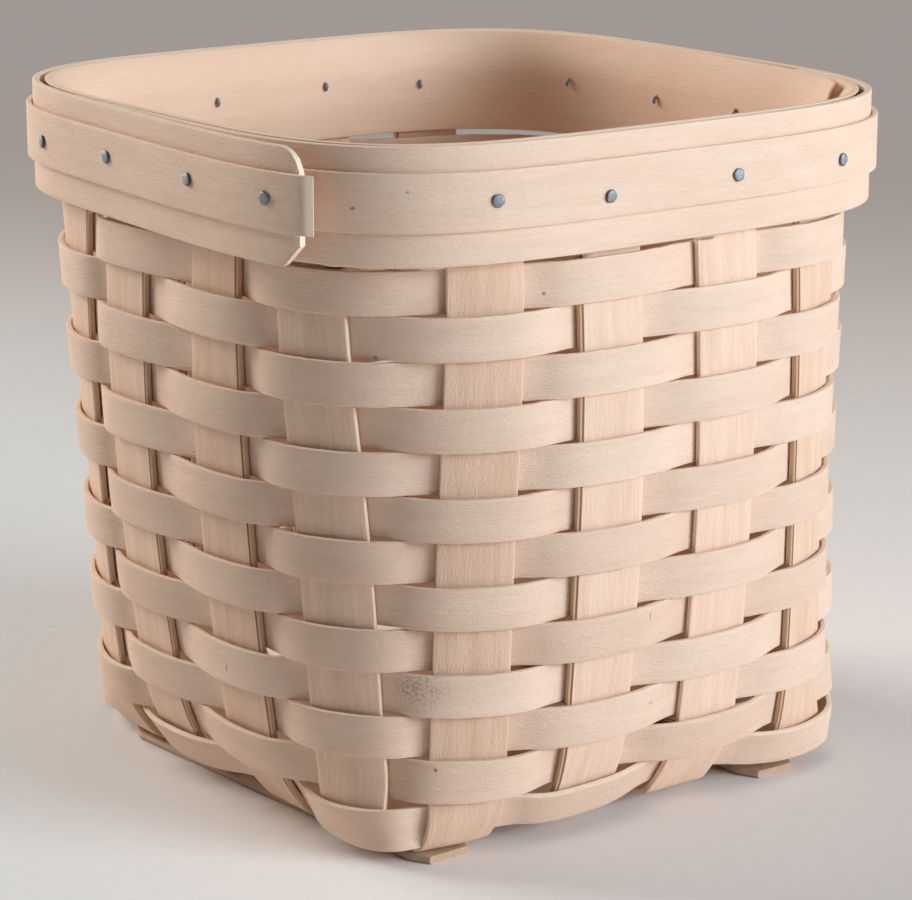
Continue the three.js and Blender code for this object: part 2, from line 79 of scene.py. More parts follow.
class Side(IntEnum):
    """The four walls, anticlockwise from the front as seen from above."""

    FRONT = 0
    RIGHT = 1
    BACK = 2
    LEFT = 3


# Small helpers for arrays of points


def unit(vectors: Array) -> Array:
    """Vectors of length one in the same directions."""
    return vectors / np.linalg.norm(vectors, axis=-1, keepdims=True)


def dot(first: Array, second: Array) -> Array:
    """Row by row dot product."""
    return np.sum(first * second, axis=-1)


def smooth(values: Array, low: float, high: float) -> Array:
    """Smooth step from 0 at low to 1 at high."""
    share = np.clip((np.asarray(values, float) - low) / (high - low), 0, 1)
    return share * share * (3 - 2 * share)


def running_length(points: Array) -> Array:
    """Distance gone along a row of points, at each point."""
    steps = np.linalg.norm(np.diff(points, axis=0), axis=1)
    return np.concatenate([[0.0], np.cumsum(steps)])


def slow_noise(rng: np.random.Generator, run: Array, wavelength: float) -> Array:
    """Smooth random values of about -1 to 1 along a splint.

    Args:
        rng: source of the random values.
        run: distance along the splint at each point.
        wavelength: distance between the random values.

    Returns:
        One value for each point.
    """
    count = int(run[-1] / wavelength) + 4
    knots = rng.uniform(-1, 1, count)
    place = run / wavelength
    index = place.astype(int)
    share = smooth(place - index, 0, 1)
    return knots[index] * (1 - share) + knots[index + 1] * share


def evenly(start: float, end: float, line: Callable[[Array], Array], sample: float) -> tuple[Array, Array]:
    """Angles at even distances along a line round the basket.

    Args:
        start: first angle.
        end: last angle.
        line: gives the line's points at angles.
        sample: distance from one angle to the next.

    Returns:
        The angles, and the distance gone at each.
    """
    fine = np.linspace(start, end, FINE_STEPS)
    gone = running_length(line(fine))
    run = np.linspace(0, gone[-1], int(gone[-1] / sample))
    return np.interp(run, gone, fine), run


# Node trees


class Signal:
    """An output socket of a node, for use in Python arithmetic."""

    def __init__(self, graph: "Graph", socket: bpy.types.NodeSocket) -> None:
        """Keep the graph that the socket belongs to, and the socket."""
        self.graph = graph
        self.socket = socket

    def math(self, operation: str, *values: "Value") -> "Signal":
        """Add a Math node and give its result.

        Args:
            operation: the Math node's operation.
            values: its inputs in order.

        Returns:
            The node's value.
        """
        settings = {"operation": operation}
        return self.graph.node("ShaderNodeMath", settings, dict(enumerate(values)))["Value"]

    def __add__(self, other: "Value") -> "Signal":
        """This plus other."""
        return self.math("ADD", self, other)

    def __radd__(self, other: "Value") -> "Signal":
        """Other plus this."""
        return self.math("ADD", other, self)

    def __sub__(self, other: "Value") -> "Signal":
        """This minus other."""
        return self.math("SUBTRACT", self, other)

    def __rsub__(self, other: "Value") -> "Signal":
        """Other minus this."""
        return self.math("SUBTRACT", other, self)

    def __mul__(self, other: "Value") -> "Signal":
        """This times other."""
        return self.math("MULTIPLY", self, other)

    def __rmul__(self, other: "Value") -> "Signal":
        """Other times this."""
        return self.math("MULTIPLY", other, self)

    def __truediv__(self, other: "Value") -> "Signal":
        """This over other."""
        return self.math("DIVIDE", self, other)

    def __abs__(self) -> "Signal":
        """This without its sign."""
        return self.math("ABSOLUTE", self)

    def __gt__(self, other: "Value") -> "Signal":
        """1 where this is above other, 0 elsewhere."""
        return self.math("GREATER_THAN", self, other)

    def __lt__(self, other: "Value") -> "Signal":
        """1 where this is below other, 0 elsewhere."""
        return self.math("LESS_THAN", self, other)

    def step(self, low: float, high: float) -> "Signal":
        """Smooth step from 0 at low to 1 at high.

        Args:
            low: value where the step begins.
            high: value where it ends; below low for a falling step.

        Returns:
            The step's value.
        """
        settings = {"interpolation_type": "SMOOTHSTEP"}
        ends = {"From Min": min(low, high), "From Max": max(low, high)}
        ends.update({"To Min": float(low > high), "To Max": float(low < high)})
        return self.graph.node("ShaderNodeMapRange", settings, {"Value": self, **ends})["Result"]


Value = Union[Signal, float, int, str, bool, Sequence[float], bpy.types.ID]


class Placed:
    """A node in a graph, whose outputs are read by name or number."""

    def __init__(self, graph: "Graph", node: bpy.types.Node) -> None:
        """Keep the graph and the node."""
        self.graph = graph
        self.node = node

    def __getitem__(self, output: Union[str, int]) -> Signal:
        """The output of that name or number."""
        return Signal(self.graph, self.node.outputs[output])


class Graph:
    """A node tree in the making, for shaders and for geometry."""

    def __init__(self, tree: bpy.types.NodeTree) -> None:
        """Keep the tree."""
        self.tree = tree

    def node(self, kind: str, settings: Optional[Mapping[str, Any]] = None,
             inputs: Optional[Mapping[Union[str, int], Value]] = None) -> Placed:
        """Add one node.

        Args:
            kind: the node's type.
            settings: its own properties, which are set first.
            inputs: values or links of its sockets, by name or number.

        Returns:
            The node.
        """
        made = self.tree.nodes.new(kind)
        for key, value in (settings or {}).items():
            setattr(made, key, value)
        for key, value in (inputs or {}).items():
            if isinstance(value, Signal):
                self.tree.links.new(value.socket, made.inputs[key])
            else:
                made.inputs[key].default_value = value
        return Placed(self, made)

    def vector(self, operation: str, *values: Value) -> Signal:
        """Vector Math that gives a vector."""
        settings = {"operation": operation}
        return self.node("ShaderNodeVectorMath", settings, dict(enumerate(values)))["Vector"]

    def measure(self, operation: str, *values: Value) -> Signal:
        """Vector Math that gives a number."""
        settings = {"operation": operation}
        return self.node("ShaderNodeVectorMath", settings, dict(enumerate(values)))["Value"]

    def scaled(self, vector: Signal, amount: Value) -> Signal:
        """A vector times a number."""
        inputs = {0: vector, "Scale": amount}
        return self.node("ShaderNodeVectorMath", {"operation": "SCALE"}, inputs)["Vector"]

    def stored(self, name: str, kind: str = "FLOAT") -> Signal:
        """A value stored on the geometry."""
        settings = {"data_type": kind}
        return self.node("GeometryNodeInputNamedAttribute", settings, {"Name": name})["Attribute"]

    def mix(self, factor: Value, first: Value, second: Value) -> Signal:
        """Blend two colours.

        Args:
            factor: 0 for the first colour, 1 for the second.
            first: colour below.
            second: colour above.

        Returns:
            The mixed colour.
        """
        settings = {"data_type": "RGBA", "blend_type": "MIX", "clamp_factor": True}
        return self.node("ShaderNodeMix", settings, {0: factor, 6: first, 7: second})[2]


def new_material(name: str) -> tuple[bpy.types.Material, Graph]:
    """An empty material.

    Args:
        name: the material's name.

    Returns:
        The material and the graph of its nodes.
    """
    made = bpy.data.materials.new(name)
    made.use_nodes = True
    made.node_tree.nodes.clear()
    return made, Graph(made.node_tree)


def end_surface(graph: Graph, surface: Mapping[Union[str, int], Value]) -> None:
    """End a material in a Principled shader with values or links for its sockets."""
    shader = graph.node("ShaderNodeBsdfPrincipled", None, surface)["BSDF"]
    graph.node("ShaderNodeOutputMaterial", None, {"Surface": shader})


def geometry_tree(name: str, base: str, inputs: Mapping[str, str],
                  result: str) -> tuple[bpy.types.NodeTree, dict[str, str]]:
    """A Geometry Nodes tree with its sockets.

    Args:
        name: the tree's name.
        base: name of the geometry that it starts from.
        inputs: the kind of each other input by name.
        result: name of the geometry that it makes.

    Returns:
        The tree, and its inputs' identifiers by name.
    """
    tree = bpy.data.node_groups.new(name, "GeometryNodeTree")
    sockets = tree.interface
    sockets.new_socket(base, in_out="INPUT", socket_type="NodeSocketGeometry")
    identifiers = {
        key: sockets.new_socket(key, in_out="INPUT", socket_type="NodeSocket" + kind).identifier
        for key, kind in inputs.items()
    }
    sockets.new_socket(result, in_out="OUTPUT", socket_type="NodeSocketGeometry")
    return tree, identifiers


def grow(name: str, mesh: bpy.types.Mesh, tree: bpy.types.NodeTree, identifiers: Mapping[str, str],
         values: Mapping[str, Any]) -> bpy.types.Object:
    """Make a piece by a Geometry Nodes tree.

    Args:
        name: the piece's name.
        mesh: the geometry that the tree starts from.
        tree: the tree.
        identifiers: its inputs' identifiers by name.
        values: its inputs' values by name.

    Returns:
        The piece, a plain mesh at the origin.
    """
    piece = bpy.data.objects.new(name, mesh)
    bpy.context.scene.collection.objects.link(piece)
    modifier = piece.modifiers.new(tree.name, "NODES")
    modifier.node_group = tree
    for key, value in values.items():
        modifier[identifiers[key]] = value
    evaluated = piece.evaluated_get(bpy.context.evaluated_depsgraph_get())
    made = bpy.data.meshes.new_from_object(evaluated)
    piece.modifiers.clear()
    piece.data = made
    made.name = name
    return piece


# Sweeping splints along paths


@dataclass
class SplintPath:
    """The line that a splint follows, with what changes along it.

    Fields are arrays with one row for each point: the points and outward directions, how far the splint's
    edges lie outside its middle, its width's share and its middle's shift across, how far its upper edge
    flares out, the share of its thickness that is shaved off, and how pale it is.
    """

    points: Array
    outward: Array
    sag: Optional[Array] = None
    scale: Optional[Array] = None
    shift: Optional[Array] = None
    flare: Optional[Array] = None
    shaved: Optional[Array] = None
    pale: Optional[Array] = None

    def columns(self) -> dict[str, Array]:
        """The numbers along the path, in metres where they are lengths.

        Returns:
            One array for each attribute's name.
        """
        count = len(self.points)
        zeros = np.zeros(count)
        return {
            "sag": zeros if self.sag is None else self.sag * MM,
            "scale": np.ones(count) if self.scale is None else self.scale,
            "shift": zeros if self.shift is None else self.shift * MM,
            "flare": zeros if self.flare is None else self.flare * MM,
            "shaved": zeros if self.shaved is None else self.shaved,
            "pale": zeros if self.pale is None else self.pale,
        }


@dataclass(frozen=True)
class SplintSize:
    """A splint's width, thickness and edge rounding, and how many cuts its wide faces get across."""

    width: float
    thickness: float
    rounding: float
    cuts: int


@dataclass(frozen=True)
class Timber:
    """Where in its timber a splint was cut, how dark it is from -1 to 1, and which edge has split."""

    start: float
    tone: float
    split: float = 0.0


class SplintTree:
    """Geometry Nodes tree that sweeps a splint with rounded edges along a path."""

    INPUTS = {
        "Width": "Float",
        "Thickness": "Float",
        "Edge Rounding": "Float",
        "Cuts": "Int",
        "Start": "Float",
        "Tone": "Float",
        "Split": "Float",
        "Flare Start": "Float",
        "Material": "Material",
    }
    HELPERS = ("outward", "sag", "scale", "shift", "flare", "shaved", "run", "section", "heading")
    FLARE_START = 0.132
    ROUNDING_POINTS = 3
    FACE_SHARE = 0.499

    def __init__(self) -> None:
        """Build the tree once for all splints."""
        self.tree, self.identifiers = geometry_tree("splint_sweep", "Path", self.INPUTS, "Splint")
        self.graph = Graph(self.tree)
        self.given = self.graph.node("NodeGroupInput")
        self._finish(self._shape(self._sweep(self._section())))

    def _store(self, geometry: Signal, name: str, kind: str, value: Value) -> Signal:
        """Store a value on the geometry's points.

        Args:
            geometry: the geometry.
            name: the attribute's name.
            kind: its data type.
            value: its value at each point.

        Returns:
            The geometry with the value on it.
        """
        settings = {"data_type": kind, "domain": "POINT"}
        inputs = {"Geometry": geometry, "Name": name, "Value": value}
        return self.graph.node("GeometryNodeStoreNamedAttribute", settings, inputs)["Geometry"]

    def _section(self) -> Signal:
        """The splint's cross-section, its wide faces cut into short lengths.

        Returns:
            A closed curve with the thickness along X and the width along Y.
        """
        graph, given = self.graph, self.given
        thickness = given["Thickness"]
        sizes = {"Width": thickness, "Height": given["Width"]}
        outline = graph.node("GeometryNodeCurvePrimitiveQuadrilateral", {"mode": "RECTANGLE"}, sizes)
        rounding = {
            "Curve": outline["Curve"],
            "Count": self.ROUNDING_POINTS,
            "Radius": given["Edge Rounding"],
            "Limit Radius": True,
        }
        outline = graph.node("GeometryNodeFilletCurve", {"mode": "POLY"}, rounding)
        place = graph.node("GeometryNodeInputPosition")["Position"]
        parts = graph.node("ShaderNodeSeparateXYZ", None, {"Vector": place})
        x, y = parts["X"], parts["Y"]
        begins_wide_face = (abs(x) > thickness * self.FACE_SHARE) * (x * y < 0.0)
        # The half keeps the count whole when it is cut down to an integer
        cuts = {"Curve": outline["Curve"], "Cuts": begins_wide_face * given["Cuts"] + 0.5}
        outline = graph.node("GeometryNodeSubdivideCurve", None, cuts)
        return self._store(outline["Curve"], "section", "FLOAT_VECTOR", place)

    def _sweep(self, section: Signal) -> Signal:
        """Carry the section along the path, turned to the stored outward directions.

        Args:
            section: the splint's cross-section.

        Returns:
            The swept mesh, closed at its ends.
        """
        graph = self.graph
        path = graph.node("GeometryNodeMeshToCurve", None, {"Mesh": self.given["Path"]})["Curve"]
        turned = {"Curve": path, "Normal": graph.stored("outward", "FLOAT_VECTOR")}
        path = graph.node("GeometryNodeSetCurveNormal", {"mode": "FREE"}, turned)["Curve"]
        tangent = graph.node("GeometryNodeInputTangent")["Tangent"]
        path = self._store(path, "heading", "FLOAT_VECTOR", tangent)
        swept = {"Curve": path, "Profile Curve": section, "Fill Caps": True}
        return graph.node("GeometryNodeCurveToMesh", None, swept)["Mesh"]

    def _shape(self, mesh: Signal) -> Signal:
        """Narrow, shift and bow the splint as the path asks, and store the wood's own coordinates.

        Args:
            mesh: the swept mesh.

        Returns:
            The shaped mesh.
        """
        graph = self.graph
        outward = graph.stored("outward", "FLOAT_VECTOR")
        across = graph.vector("CROSS_PRODUCT", outward, graph.stored("heading", "FLOAT_VECTOR"))
        place = graph.stored("section", "FLOAT_VECTOR")
        section = graph.node("ShaderNodeSeparateXYZ", None, {"Vector": place})
        aside = 0.0 - section["Y"]
        edge = aside * 2.0 / self.given["Width"]
        slide = graph.stored("shift") + aside * (graph.stored("scale") - 1.0)
        moved = graph.scaled(across, slide)
        start = self.given["Flare Start"]
        ramp = edge.math("MAXIMUM", (edge - start) / (1.0 - start), 0.0)
        bow = graph.stored("sag") * edge * edge + graph.stored("flare") * ramp * ramp
        bowed = graph.scaled(outward, bow - section["X"] * graph.stored("shaved"))
        run = graph.stored("run") + self.given["Start"]
        wood = {"X": run, "Y": aside + slide, "Z": section["X"]}
        grain = graph.node("ShaderNodeCombineXYZ", None, wood)["Vector"]
        mesh = self._store(mesh, "grain", "FLOAT_VECTOR", grain)
        numbers = {"edge": edge, "tone": self.given["Tone"], "split": self.given["Split"]}
        for name, value in numbers.items():
            mesh = self._store(mesh, name, "FLOAT", value)
        shift = {"Geometry": mesh, "Offset": graph.vector("ADD", moved, bowed)}
        return graph.node("GeometryNodeSetPosition", None, shift)["Geometry"]

    def _finish(self, mesh: Signal) -> None:
        """End the tree with smooth shading, real geometry and the material.

        Args:
            mesh: the shaped mesh.
        """
        graph = self.graph
        mesh = graph.node("GeometryNodeSetShadeSmooth", None, {"Geometry": mesh})["Geometry"]
        mesh = graph.node("GeometryNodeRealizeInstances", None, {"Geometry": mesh})["Geometry"]
        painted = {"Geometry": mesh, "Material": self.given["Material"]}
        mesh = graph.node("GeometryNodeSetMaterial", None, painted)["Geometry"]
        graph.node("NodeGroupOutput", None, {"Splint": mesh})

    def sweep(self, name: str, path: SplintPath, size: SplintSize, timber: Timber,
              material: bpy.types.Material) -> bpy.types.Object:
        """Make one splint.

        Args:
            name: the piece's name.
            path: the line that it follows, in millimetres.
            size: its cross-section, in millimetres.
            timber: the wood that it is cut from.
            material: its finish.

        Returns:
            The piece, a plain mesh at the origin.
        """
        points = path.points * MM
        line = bpy.data.meshes.new(name + "_path")
        line.from_pydata(points.tolist(), [(i, i + 1) for i in range(len(points) - 1)], [])
        outward = line.attributes.new("outward", "FLOAT_VECTOR", "POINT")
        outward.data.foreach_set("vector", path.outward.ravel())
        for column, values in {**path.columns(), "run": running_length(points)}.items():
            line.attributes.new(column, "FLOAT", "POINT").data.foreach_set("value", values)
        values = {
            "Width": size.width * MM,
            "Thickness": size.thickness * MM,
            "Edge Rounding": size.rounding * MM,
            "Cuts": size.cuts,
            "Start": timber.start,
            "Tone": timber.tone,
            "Split": timber.split,
            "Flare Start": self.FLARE_START,
            "Material": material,
        }
        piece = grow(name, line, self.tree, self.identifiers, values)
        for helper in self.HELPERS:
            if helper in piece.data.attributes:
                piece.data.attributes.remove(piece.data.attributes[helper])
        return piece


# The basket's wall


@dataclass
class Plan:
    """A rounded square: half its width, how square its corners are, and its centre."""

    half: Array
    squareness: Array
    x: Array
    y: Array

    def normal(self, angle: Array) -> Array:
        """Level outward directions.

        Args:
            angle: angles round the centre.

        Returns:
            One direction for each angle.
        """
        c, s = np.cos(angle), np.sin(angle)
        power = self.squareness - 1
        x = np.sign(c) * np.abs(c) ** power
        y = np.sign(s) * np.abs(s) ** power
        return unit(np.stack([x, y, np.zeros_like(x)], axis=-1))

    def point(self, angle: Array, offset: Array, z: Array) -> Array:
        """Points on the plan or beside it.

        Args:
            angle: angles round the centre.
            offset: how far the points are moved outwards.
            z: their heights.

        Returns:
            One point for each angle.
        """
        c, s = np.cos(angle), np.sin(angle)
        power = self.squareness
        radius = self.half / (np.abs(c) ** power + np.abs(s) ** power) ** (1 / power)
        level = np.stack([self.x + radius * c, self.y + radius * s, z + np.zeros_like(c)], axis=-1)
        return level + self.normal(angle) * np.asarray(offset)[..., None]

    def line(self, angle: Array) -> Array:
        """Points on the plan itself, at height 0."""
        return self.point(angle, np.zeros_like(angle), np.zeros_like(angle))

    def speed(self, angle: Array) -> Array:
        """Distance gone round the plan for each radian.

        Args:
            angle: angles round the centre.

        Returns:
            One distance for each angle.
        """
        small = 1e-3
        return np.linalg.norm(self.line(angle + small) - self.line(angle - small), axis=-1) / (2 * small)

    def step(self, angle: Array, distance: float) -> Array:
        """Go a distance round the plan.

        Args:
            angle: angles to start from.
            distance: how far to go, anticlockwise if positive.

        Returns:
            The angles that are reached.
        """
        angle = np.asarray(angle, float)
        middle = angle + distance / (2 * self.speed(angle))
        return angle + distance / self.speed(middle)

    def angle(self, side: Side, along: Array) -> Array:
        """Angle of a place along one wall.

        Args:
            side: the wall.
            along: X on the front and back walls, Y on the others.

        Returns:
            The angle round the centre.
        """
        across = along - (self.x if side in (Side.FRONT, Side.BACK) else self.y)
        share = np.minimum(np.abs(across / self.half), NEARLY_ALL)
        depth = self.half * (1 - share ** self.squareness) ** (1 / self.squareness)
        x, y = {
            Side.FRONT: (across, -depth),
            Side.RIGHT: (depth, across),
            Side.BACK: (across, depth),
            Side.LEFT: (-depth, across),
        }[side]
        return np.arctan2(y, x)


@dataclass(frozen=True)
class Stake:
    """Middle of a stake from the rim's centre: at the rim, at the wall's foot and across the base.

    The same three are also given as shares of the wall's half-width.
    """

    rim: float
    foot: float
    base: float


@dataclass
class Wall:
    """Shape of the woven wall, and where the stakes stand in it."""

    splint: float = 1.2
    stake_width: float = 16.4
    pitch: float = 9.525
    rows: int = 13
    seat_gap: float = 0.3
    rim_height: float = 25.66
    weave_lift: float = 4.2
    half: tuple[float, float, float] = (75.5, 77.6, 70.8)
    squareness: tuple[float, float, float] = (3.6, 2.65, 3.7)
    lean: tuple[float, float] = (2.9, -2.2)
    foot_height: float = 24.0
    foot_inset: float = 10.0
    foot_squareness: float = 10.0
    foot_power: float = 1.5
    runner_thickness: float = 1.7
    front_shares: tuple[Stake, ...] = (
        Stake(-0.583, -0.65, -0.668), Stake(-0.199, -0.247, -0.247),
        Stake(0.225, 0.191, 0.219), Stake(0.609, 0.65, 0.692))
    side_shares: tuple[Stake, ...] = (
        Stake(0.51, 0.53, 0.607), Stake(0.179, 0.12, 0.127),
        Stake(-0.285, -0.353, -0.311), Stake(-0.642, -0.735, -0.737))

    @property
    def front_stakes(self) -> tuple[Stake, ...]:
        """Stakes that run from front to back, from left to right."""
        return tuple(self.placed(share) for share in self.front_shares)

    @property
    def side_stakes(self) -> tuple[Stake, ...]:
        """Stakes that run from side to side, from the back to the front."""
        return tuple(self.placed(share) for share in self.side_shares)

    def placed(self, share: Stake) -> Stake:
        """A stake's places in millimetres, from shares of the wall's half-width."""
        rim, _, base = self.half
        return Stake(share.rim * rim, share.foot * base, share.base * base)

    @property
    def weave_height(self) -> float:
        """Height of all the rows."""
        return self.pitch * self.rows

    @property
    def rim_bottom(self) -> float:
        """Height of the first row's upper edge."""
        return self.weave_lift + self.weave_height

    @property
    def top(self) -> float:
        """Height of the rim's upper edge."""
        return self.rim_bottom + self.rim_height

    @property
    def base_lift(self) -> float:
        """Height of the woven base's lower face."""
        return self.runner_thickness + self.seat_gap

    @property
    def step_out(self) -> float:
        """Distance between the middles of a stake and of a weaver that lies on it."""
        return self.splint + self.seat_gap

    def ends(self) -> list[tuple[Side, Stake]]:
        """The stakes' ends in order round the basket.

        Returns:
            The wall and the stake of each end, from the front wall's left end.
        """
        order = [
            (Side.FRONT, self.front_stakes),
            (Side.RIGHT, self.side_stakes[::-1]),
            (Side.BACK, self.front_stakes[::-1]),
            (Side.LEFT, self.side_stakes),
        ]
        return [(side, stake) for side, stakes in order for stake in stakes]

    def way_down(self, z: Array) -> Array:
        """Share of the way down the weaving, 0 at the rim and 1 at its lower edge."""
        return np.clip((self.rim_bottom - np.asarray(z, float)) / self.weave_height, 0, 1)

    def down(self, values: tuple[float, float, float], z: Array) -> Array:
        """A quantity that changes down the wall.

        Args:
            values: the quantity at the rim, half way down and at the base.
            z: heights.

        Returns:
            The quantity at each height.
        """
        t = self.way_down(z)
        rim, middle, base = values
        return rim * (1 - t) * (1 - 2 * t) + middle * 4 * t * (1 - t) + base * t * (2 * t - 1)

    def plan(self, z: Array) -> Plan:
        """Plan of the stakes' middles.

        Args:
            z: heights.

        Returns:
            The plan, with one value of each kind for each height.
        """
        drawn = np.maximum(0, 1 - np.asarray(z, float) / self.foot_height) ** 2
        return Plan(
            half=self.down(self.half, z) - self.foot_inset * drawn,
            squareness=self.down(self.squareness, z) + self.foot_squareness * drawn ** self.foot_power,
            x=self.lean[0] * self.way_down(z),
            y=self.lean[1] * self.way_down(z),
        )

    def point(self, angle: Array, z: Array) -> Array:
        """Points on the middle of the stakes' thickness."""
        return self.plan(z).point(angle, np.zeros_like(angle), z)

    def normal(self, angle: Array, z: Array) -> Array:
        """Outward directions of the wall, tipped down where it draws in.

        Args:
            angle: angles round the basket.
            z: heights.

        Returns:
            One direction for each angle.
        """
        small = 0.2
        slope = self.point(angle, z + small) - self.point(angle, z - small)
        flat = self.plan(z).normal(angle)
        along = np.cross(np.array([0.0, 0.0, 1.0]), flat)
        return unit(np.cross(along, slope))

    def height_down(self, angle: Array, distance: Array) -> Array:
        """Go down the wall from the rim's lower edge.

        Args:
            angle: angles round the basket.
            distance: how far to go along the wall.

        Returns:
            The heights that are reached.
        """
        steps, drop = 40, 0.5
        z = np.full(np.shape(angle), self.rim_bottom)
        for _ in range(steps):
            length = np.linalg.norm(self.point(angle, z) - self.point(angle, z - drop), axis=-1)
            z = z - (distance / steps) * (drop / length)
        return z

    def stake_angles(self, side: Side, stake: Stake, z: Array) -> tuple[Array, Array, Array]:
        """Where a stake lies on its wall.

        Args:
            side: the wall.
            stake: the stake.
            z: heights.

        Returns:
            Angles of its first edge, its middle and its last edge at each height.
        """
        plan = self.plan(z)
        along = stake.rim + (stake.foot - stake.rim) * self.way_down(z)
        middle = plan.angle(side, along)
        return plan.step(middle, -self.stake_width / 2), middle, plan.step(middle, self.stake_width / 2)

    def stakes_round(self, z: float) -> Array:
        """Where every stake's end lies at one height.

        Args:
            z: the height.

        Returns:
            A row with the angles of first edge, middle and last edge for each end, rising round the basket.
        """
        rows = np.array([self.stake_angles(side, stake, np.array(z)) for side, stake in self.ends()])
        turns = np.concatenate([[0], np.cumsum(np.diff(rows[:, 1]) < 0)])
        return rows + FULL_TURN * turns[:, None]


# Finishes


@dataclass(frozen=True)
class Pattern:
    """A noise pattern: its size in millimetres in three directions, its detail and its roughness."""

    size: tuple[float, float, float]
    detail: float = 2.0
    roughness: float = 0.5

    def on(self, graph: Graph, place: Signal) -> Signal:
        """The pattern's value of about 0 to 1.

        Args:
            graph: the material's graph.
            place: coordinates in metres.

        Returns:
            The value at each place.
        """
        spread = graph.vector("DIVIDE", place, tuple(length * MM for length in self.size))
        inputs = {"Vector": spread, "Scale": 1.0, "Detail": self.detail, "Roughness": self.roughness}
        return graph.node("ShaderNodeTexNoise", {"noise_dimensions": "3D"}, inputs)["Fac"]


@dataclass(frozen=True)
class Mark:
    """A small stain: its centre, how far it reaches, how strongly it shows and whether it is speckled."""

    centre: tuple[float, float, float]
    reach: tuple[float, float, float]
    strength: float
    speckled: bool = False


@dataclass(frozen=True)
class WoodFinish:
    """Sanded pale splint wood: its colours, and the size and strength of its grain.

    Lengths are in millimetres, and each step is a pair of values between which something comes in.
    """

    name: str
    light: Colour
    dark: Colour
    edge: Colour
    streak_width: float
    streak_length: float
    streak_strength: float
    waviness: float
    fleck_strength: float
    cloud_strength: float
    fuzz_strength: float
    bump: float
    roughness: float = 0.62
    roughness_swing: float = 0.15
    gloss: float = 0.28
    mean_depth: float = 0.42
    tone_strength: float = 0.16
    pore_step: tuple[float, float] = (0.60, 0.78)
    edge_step: tuple[float, float] = (0.965, 0.999)
    edge_strength: float = 0.55
    grain_relief: float = 0.4
    bump_depth: float = 0.2
    # Painted shade at a split edge: where the loose ply is shaded, and where the crack with its painted
    # shadow lies
    ply_shade_step: tuple[float, float] = (0.90, 0.94)
    ply_shade_strength: float = 0.75
    crack_and_shadow_start: tuple[float, float] = (0.855, 0.880)
    crack_and_shadow_end: tuple[float, float] = (0.945, 0.925)
    speckle_step: tuple[float, float] = (0.50, 0.60)
    mark_step: tuple[float, float] = (1.0, 0.2)
    stain: Colour = (0.13, 0.095, 0.07, 1.0)
    # Colours of the crack with its painted shadow, and of the painted shade on the loose ply
    crack_and_shadow: Colour = (0.23, 0.115, 0.055, 1.0)
    ply_shade: Colour = (0.55, 0.34, 0.20, 1.0)
    marks: tuple[Mark, ...] = ()

    STREAK_DEPTH = 0.9
    STREAK_DETAIL = 4.0
    STREAK_ROUGHNESS = 0.62
    WANDER = Pattern((12.0, 4.0, 4.0))
    BROAD = Pattern((45.0, 3.2, 3.0), 3.0, 0.55)
    CLOUDS = Pattern((20.0, 10.0, 10.0), 3.0, 0.6)
    FLECKS = Pattern((2.1, 0.30, 0.6), 1.0)
    FUZZ = Pattern((0.9, 0.4, 0.4), 2.5, 0.65)
    SPECKLE = Pattern((0.6, 0.6, 0.6), 2.0, 0.7)

    def material(self) -> bpy.types.Material:
        """Build the material.

        Returns:
            The material, which reads the wood's own coordinates along, across and through each splint.
        """
        if self.name in bpy.data.materials:
            return bpy.data.materials[self.name]
        made, graph = new_material(self.name)
        along = self._attribute(graph, "grain")["Vector"]
        parts = graph.node("ShaderNodeSeparateXYZ", None, {"Vector": along})
        run, across, through = parts["X"], parts["Y"], parts["Z"]

        # Grain lines that wander across the splint
        wavy = across + (self.WANDER.on(graph, along) - 0.5) * (self.waviness * MM)
        place = graph.node("ShaderNodeCombineXYZ", None, {"X": run, "Y": wavy, "Z": through})["Vector"]
        streak_size = (self.streak_length, self.streak_width, self.STREAK_DEPTH)
        streaks = Pattern(streak_size, self.STREAK_DETAIL, self.STREAK_ROUGHNESS).on(graph, place)
        broad = self.BROAD.on(graph, place)
        clouds = self.CLOUDS.on(graph, along)
        flecks = self.FLECKS.on(graph, place)
        fuzz = self.FUZZ.on(graph, along)

        tone = self._attribute(graph, "tone")["Fac"]
        depth = (streaks - 0.5) * self.streak_strength + (broad - 0.5) * self.streak_strength
        depth = depth + (clouds - 0.5) * self.cloud_strength + (fuzz - 0.5) * self.fuzz_strength
        depth = depth + tone * self.tone_strength + self.mean_depth
        colour = graph.mix(depth, self.light, self.dark)
        pores = flecks.step(*self.pore_step) * self.fleck_strength
        colour = graph.mix(pores, colour, self.dark)

        # Paler cut edges and torn places
        rim = abs(self._attribute(graph, "edge")["Fac"]).step(*self.edge_step)
        pale = self._attribute(graph, "pale")["Fac"]
        colour = graph.mix(rim * self.edge_strength, colour, self.edge)
        colour = graph.mix(pale, colour, self.edge)
        # The split's crack with painted shadow, and painted shade on its loose ply
        colour = self._split_and_shade(graph, colour)
        colour = self._stained(graph, colour)

        height = streaks * self.grain_relief + flecks * self.grain_relief + fuzz
        relief = {"Height": height, "Strength": self.bump, "Distance": self.bump_depth * MM}
        bump = graph.node("ShaderNodeBump", None, relief)
        end_surface(graph, {
            "Base Color": colour,
            "Roughness": self.roughness + (streaks - 0.5) * self.roughness_swing,
            "Normal": bump["Normal"],
            "Specular IOR Level": self.gloss,
        })
        return made

    def _attribute(self, graph: Graph, name: str) -> Placed:
        """A value stored on the splint."""
        return graph.node("ShaderNodeAttribute", {"attribute_name": name})

    def _split_and_shade(self, graph: Graph, colour: Signal) -> Signal:
        """Draw a dark line beside a splint's split edge, a real crack with painted shadow in it, and paint
        shade on the loose ply outside it.

        Args:
            graph: the material's graph.
            colour: the wood's colour.

        Returns:
            The colour with the split and its painted shade on it.
        """
        side = self._attribute(graph, "split")["Fac"]
        outwards = side * self._attribute(graph, "edge")["Fac"]
